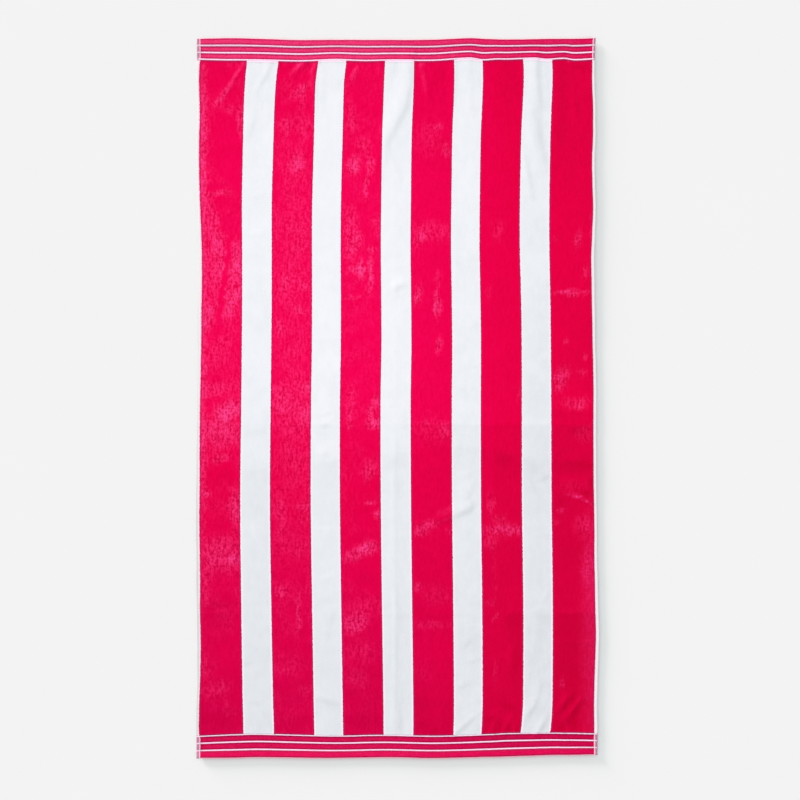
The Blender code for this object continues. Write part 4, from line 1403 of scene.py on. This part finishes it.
def pile_edge():
    """The tufts along the edge of the pile, where it stands free beside a border or hem."""
    u, v, out = pile_edge_places()
    random = np.random.default_rng(75)
    count = len(u)
    size = random.uniform(0.75, 1.2, count)
    x, y, _, _ = face_and_back(u, v)
    _, _, foot, _ = face_and_back(u + out[:, 0] * FOOT_OUT, v + out[:, 1] * FOOT_OUT)
    lean_x, lean_y = (
        out * random.uniform(-0.2, 0.5, (count, 1)) + random.uniform(-0.35, 0.35, (count, 2))
    ).T
    points = []
    for height, radius, share in ((-0.4, 0.45, 0.0), (0.15, 0.85, 0.45), (0.45, 0.7, 0.8)):
        for k in range(SIDES):
            angle = math.tau * k / SIDES
            aside = lean_x * share + radius * math.cos(angle) * size
            up = lean_y * share + radius * math.sin(angle) * size
            points.append(centred(x + aside * MM, y + up * MM, foot + height * size * MM))
    points.append(centred(x + lean_x * MM, y + lean_y * MM, foot + 0.60 * size * MM))
    each = len(points)
    form = [tuple(reversed(range(SIDES)))] + between_rings(0, 3) + to_tip(2 * SIDES, each - 1)
    slots = [int(in_white(place)) for place in u for _ in form]
    cloth = np.repeat(np.stack([u, v], -1), each, axis=0)
    points = np.stack(points, axis=1).reshape(-1, 3)
    materials = [PINK_VELOUR, WHITE_VELOUR]
    piece = add_piece("pile_edge", points, repeated(form, each, count), materials, cloth, slots)
    add_nap_and_painted_light(piece, cloth)
    return piece


def floor_piece():
    """A large plain floor."""
    line = np.linspace(-FLOOR_HALF, FLOOR_HALF, FLOOR_CELLS + 1)
    x, y = (grid.ravel() for grid in np.meshgrid(line, line))
    points = np.stack([x, y, np.full(len(x), FLOOR_LEVEL)], -1)
    faces = grid_faces(len(line), len(line))
    return add_piece("studio_floor", points, faces, [floor_finish()], points[:, :2])


towel = towel_piece()
lines = add_beads("border_lines", line_floats(), (1, 0), FLOAT_SIZE, -0.12 * MM, WHITE_YARN)
side = WIDTH / 2 - SIDE_HEM + 0.3 * MM
along_sides, across_sides = stitches(LENGTH / 2, -side, side, 72)
side_seams = add_beads(
    "side_seams", (across_sides, along_sides), (0, 1), SIDE_STITCH_SIZE, -0.2 * MM, HEM_THREAD
)
end_rows = stitches(WIDTH / 2, LENGTH / 2 - TOP_SEAM, BOTTOM_SEAM - LENGTH / 2, 73)
end_seams = add_beads("end_seams", end_rows, (1, 0), END_STITCH_SIZE, 0.0, PINK_THREAD)
tufts = pile_edge()
floor = floor_piece()

for piece in (towel, lines, side_seams, end_seams, tufts):
    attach(piece, "root")
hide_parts("towel")


# --- light and camera -----------------------------------------------------------


def studio_light():
    """Even light from all round, and a low soft light from the upper left."""
    world = bpy.data.worlds.new("studio")
    world.use_nodes = True
    background = world.node_tree.nodes["Background"]
    background.inputs["Color"].default_value = SKY_COLOUR
    background.inputs["Strength"].default_value = LIGHT * (1 - SUN_SHARE)
    bpy.context.scene.world = world

    data = bpy.data.lights.new("low_light", "SUN")
    data.energy = SUN_BOOST * LIGHT * SUN_SHARE * math.pi / math.sin(SUN_ELEVATION)
    data.color = SUN_COLOUR
    data.angle = SUN_SOFTNESS
    lamp = bpy.data.objects.new("low_light", data)
    flat = math.cos(SUN_ELEVATION)
    towards = Vector((TO_LIGHT[0] * flat, TO_LIGHT[1] * flat, math.sin(SUN_ELEVATION)))
    lamp.rotation_euler = towards.to_track_quat("Z", "Y").to_euler()
    lamp.location = towards * 5
    bpy.context.scene.collection.objects.link(lamp)


def overhead_camera():
    """A camera straight above, 2 m of floor across its frame."""
    data = bpy.data.cameras.new("overhead")
    data.type = "PERSP"
    data.lens = 72.0
    data.sensor_width = 36.0
    data.clip_end = 50.0
    camera = bpy.data.objects.new("overhead", data)
    camera.location = CAMERA_PLACE
    bpy.context.scene.collection.objects.link(camera)
    bpy.context.scene.camera = camera


studio_light()
overhead_camera()
bpy.context.scene.view_settings.view_transform = "Standard"
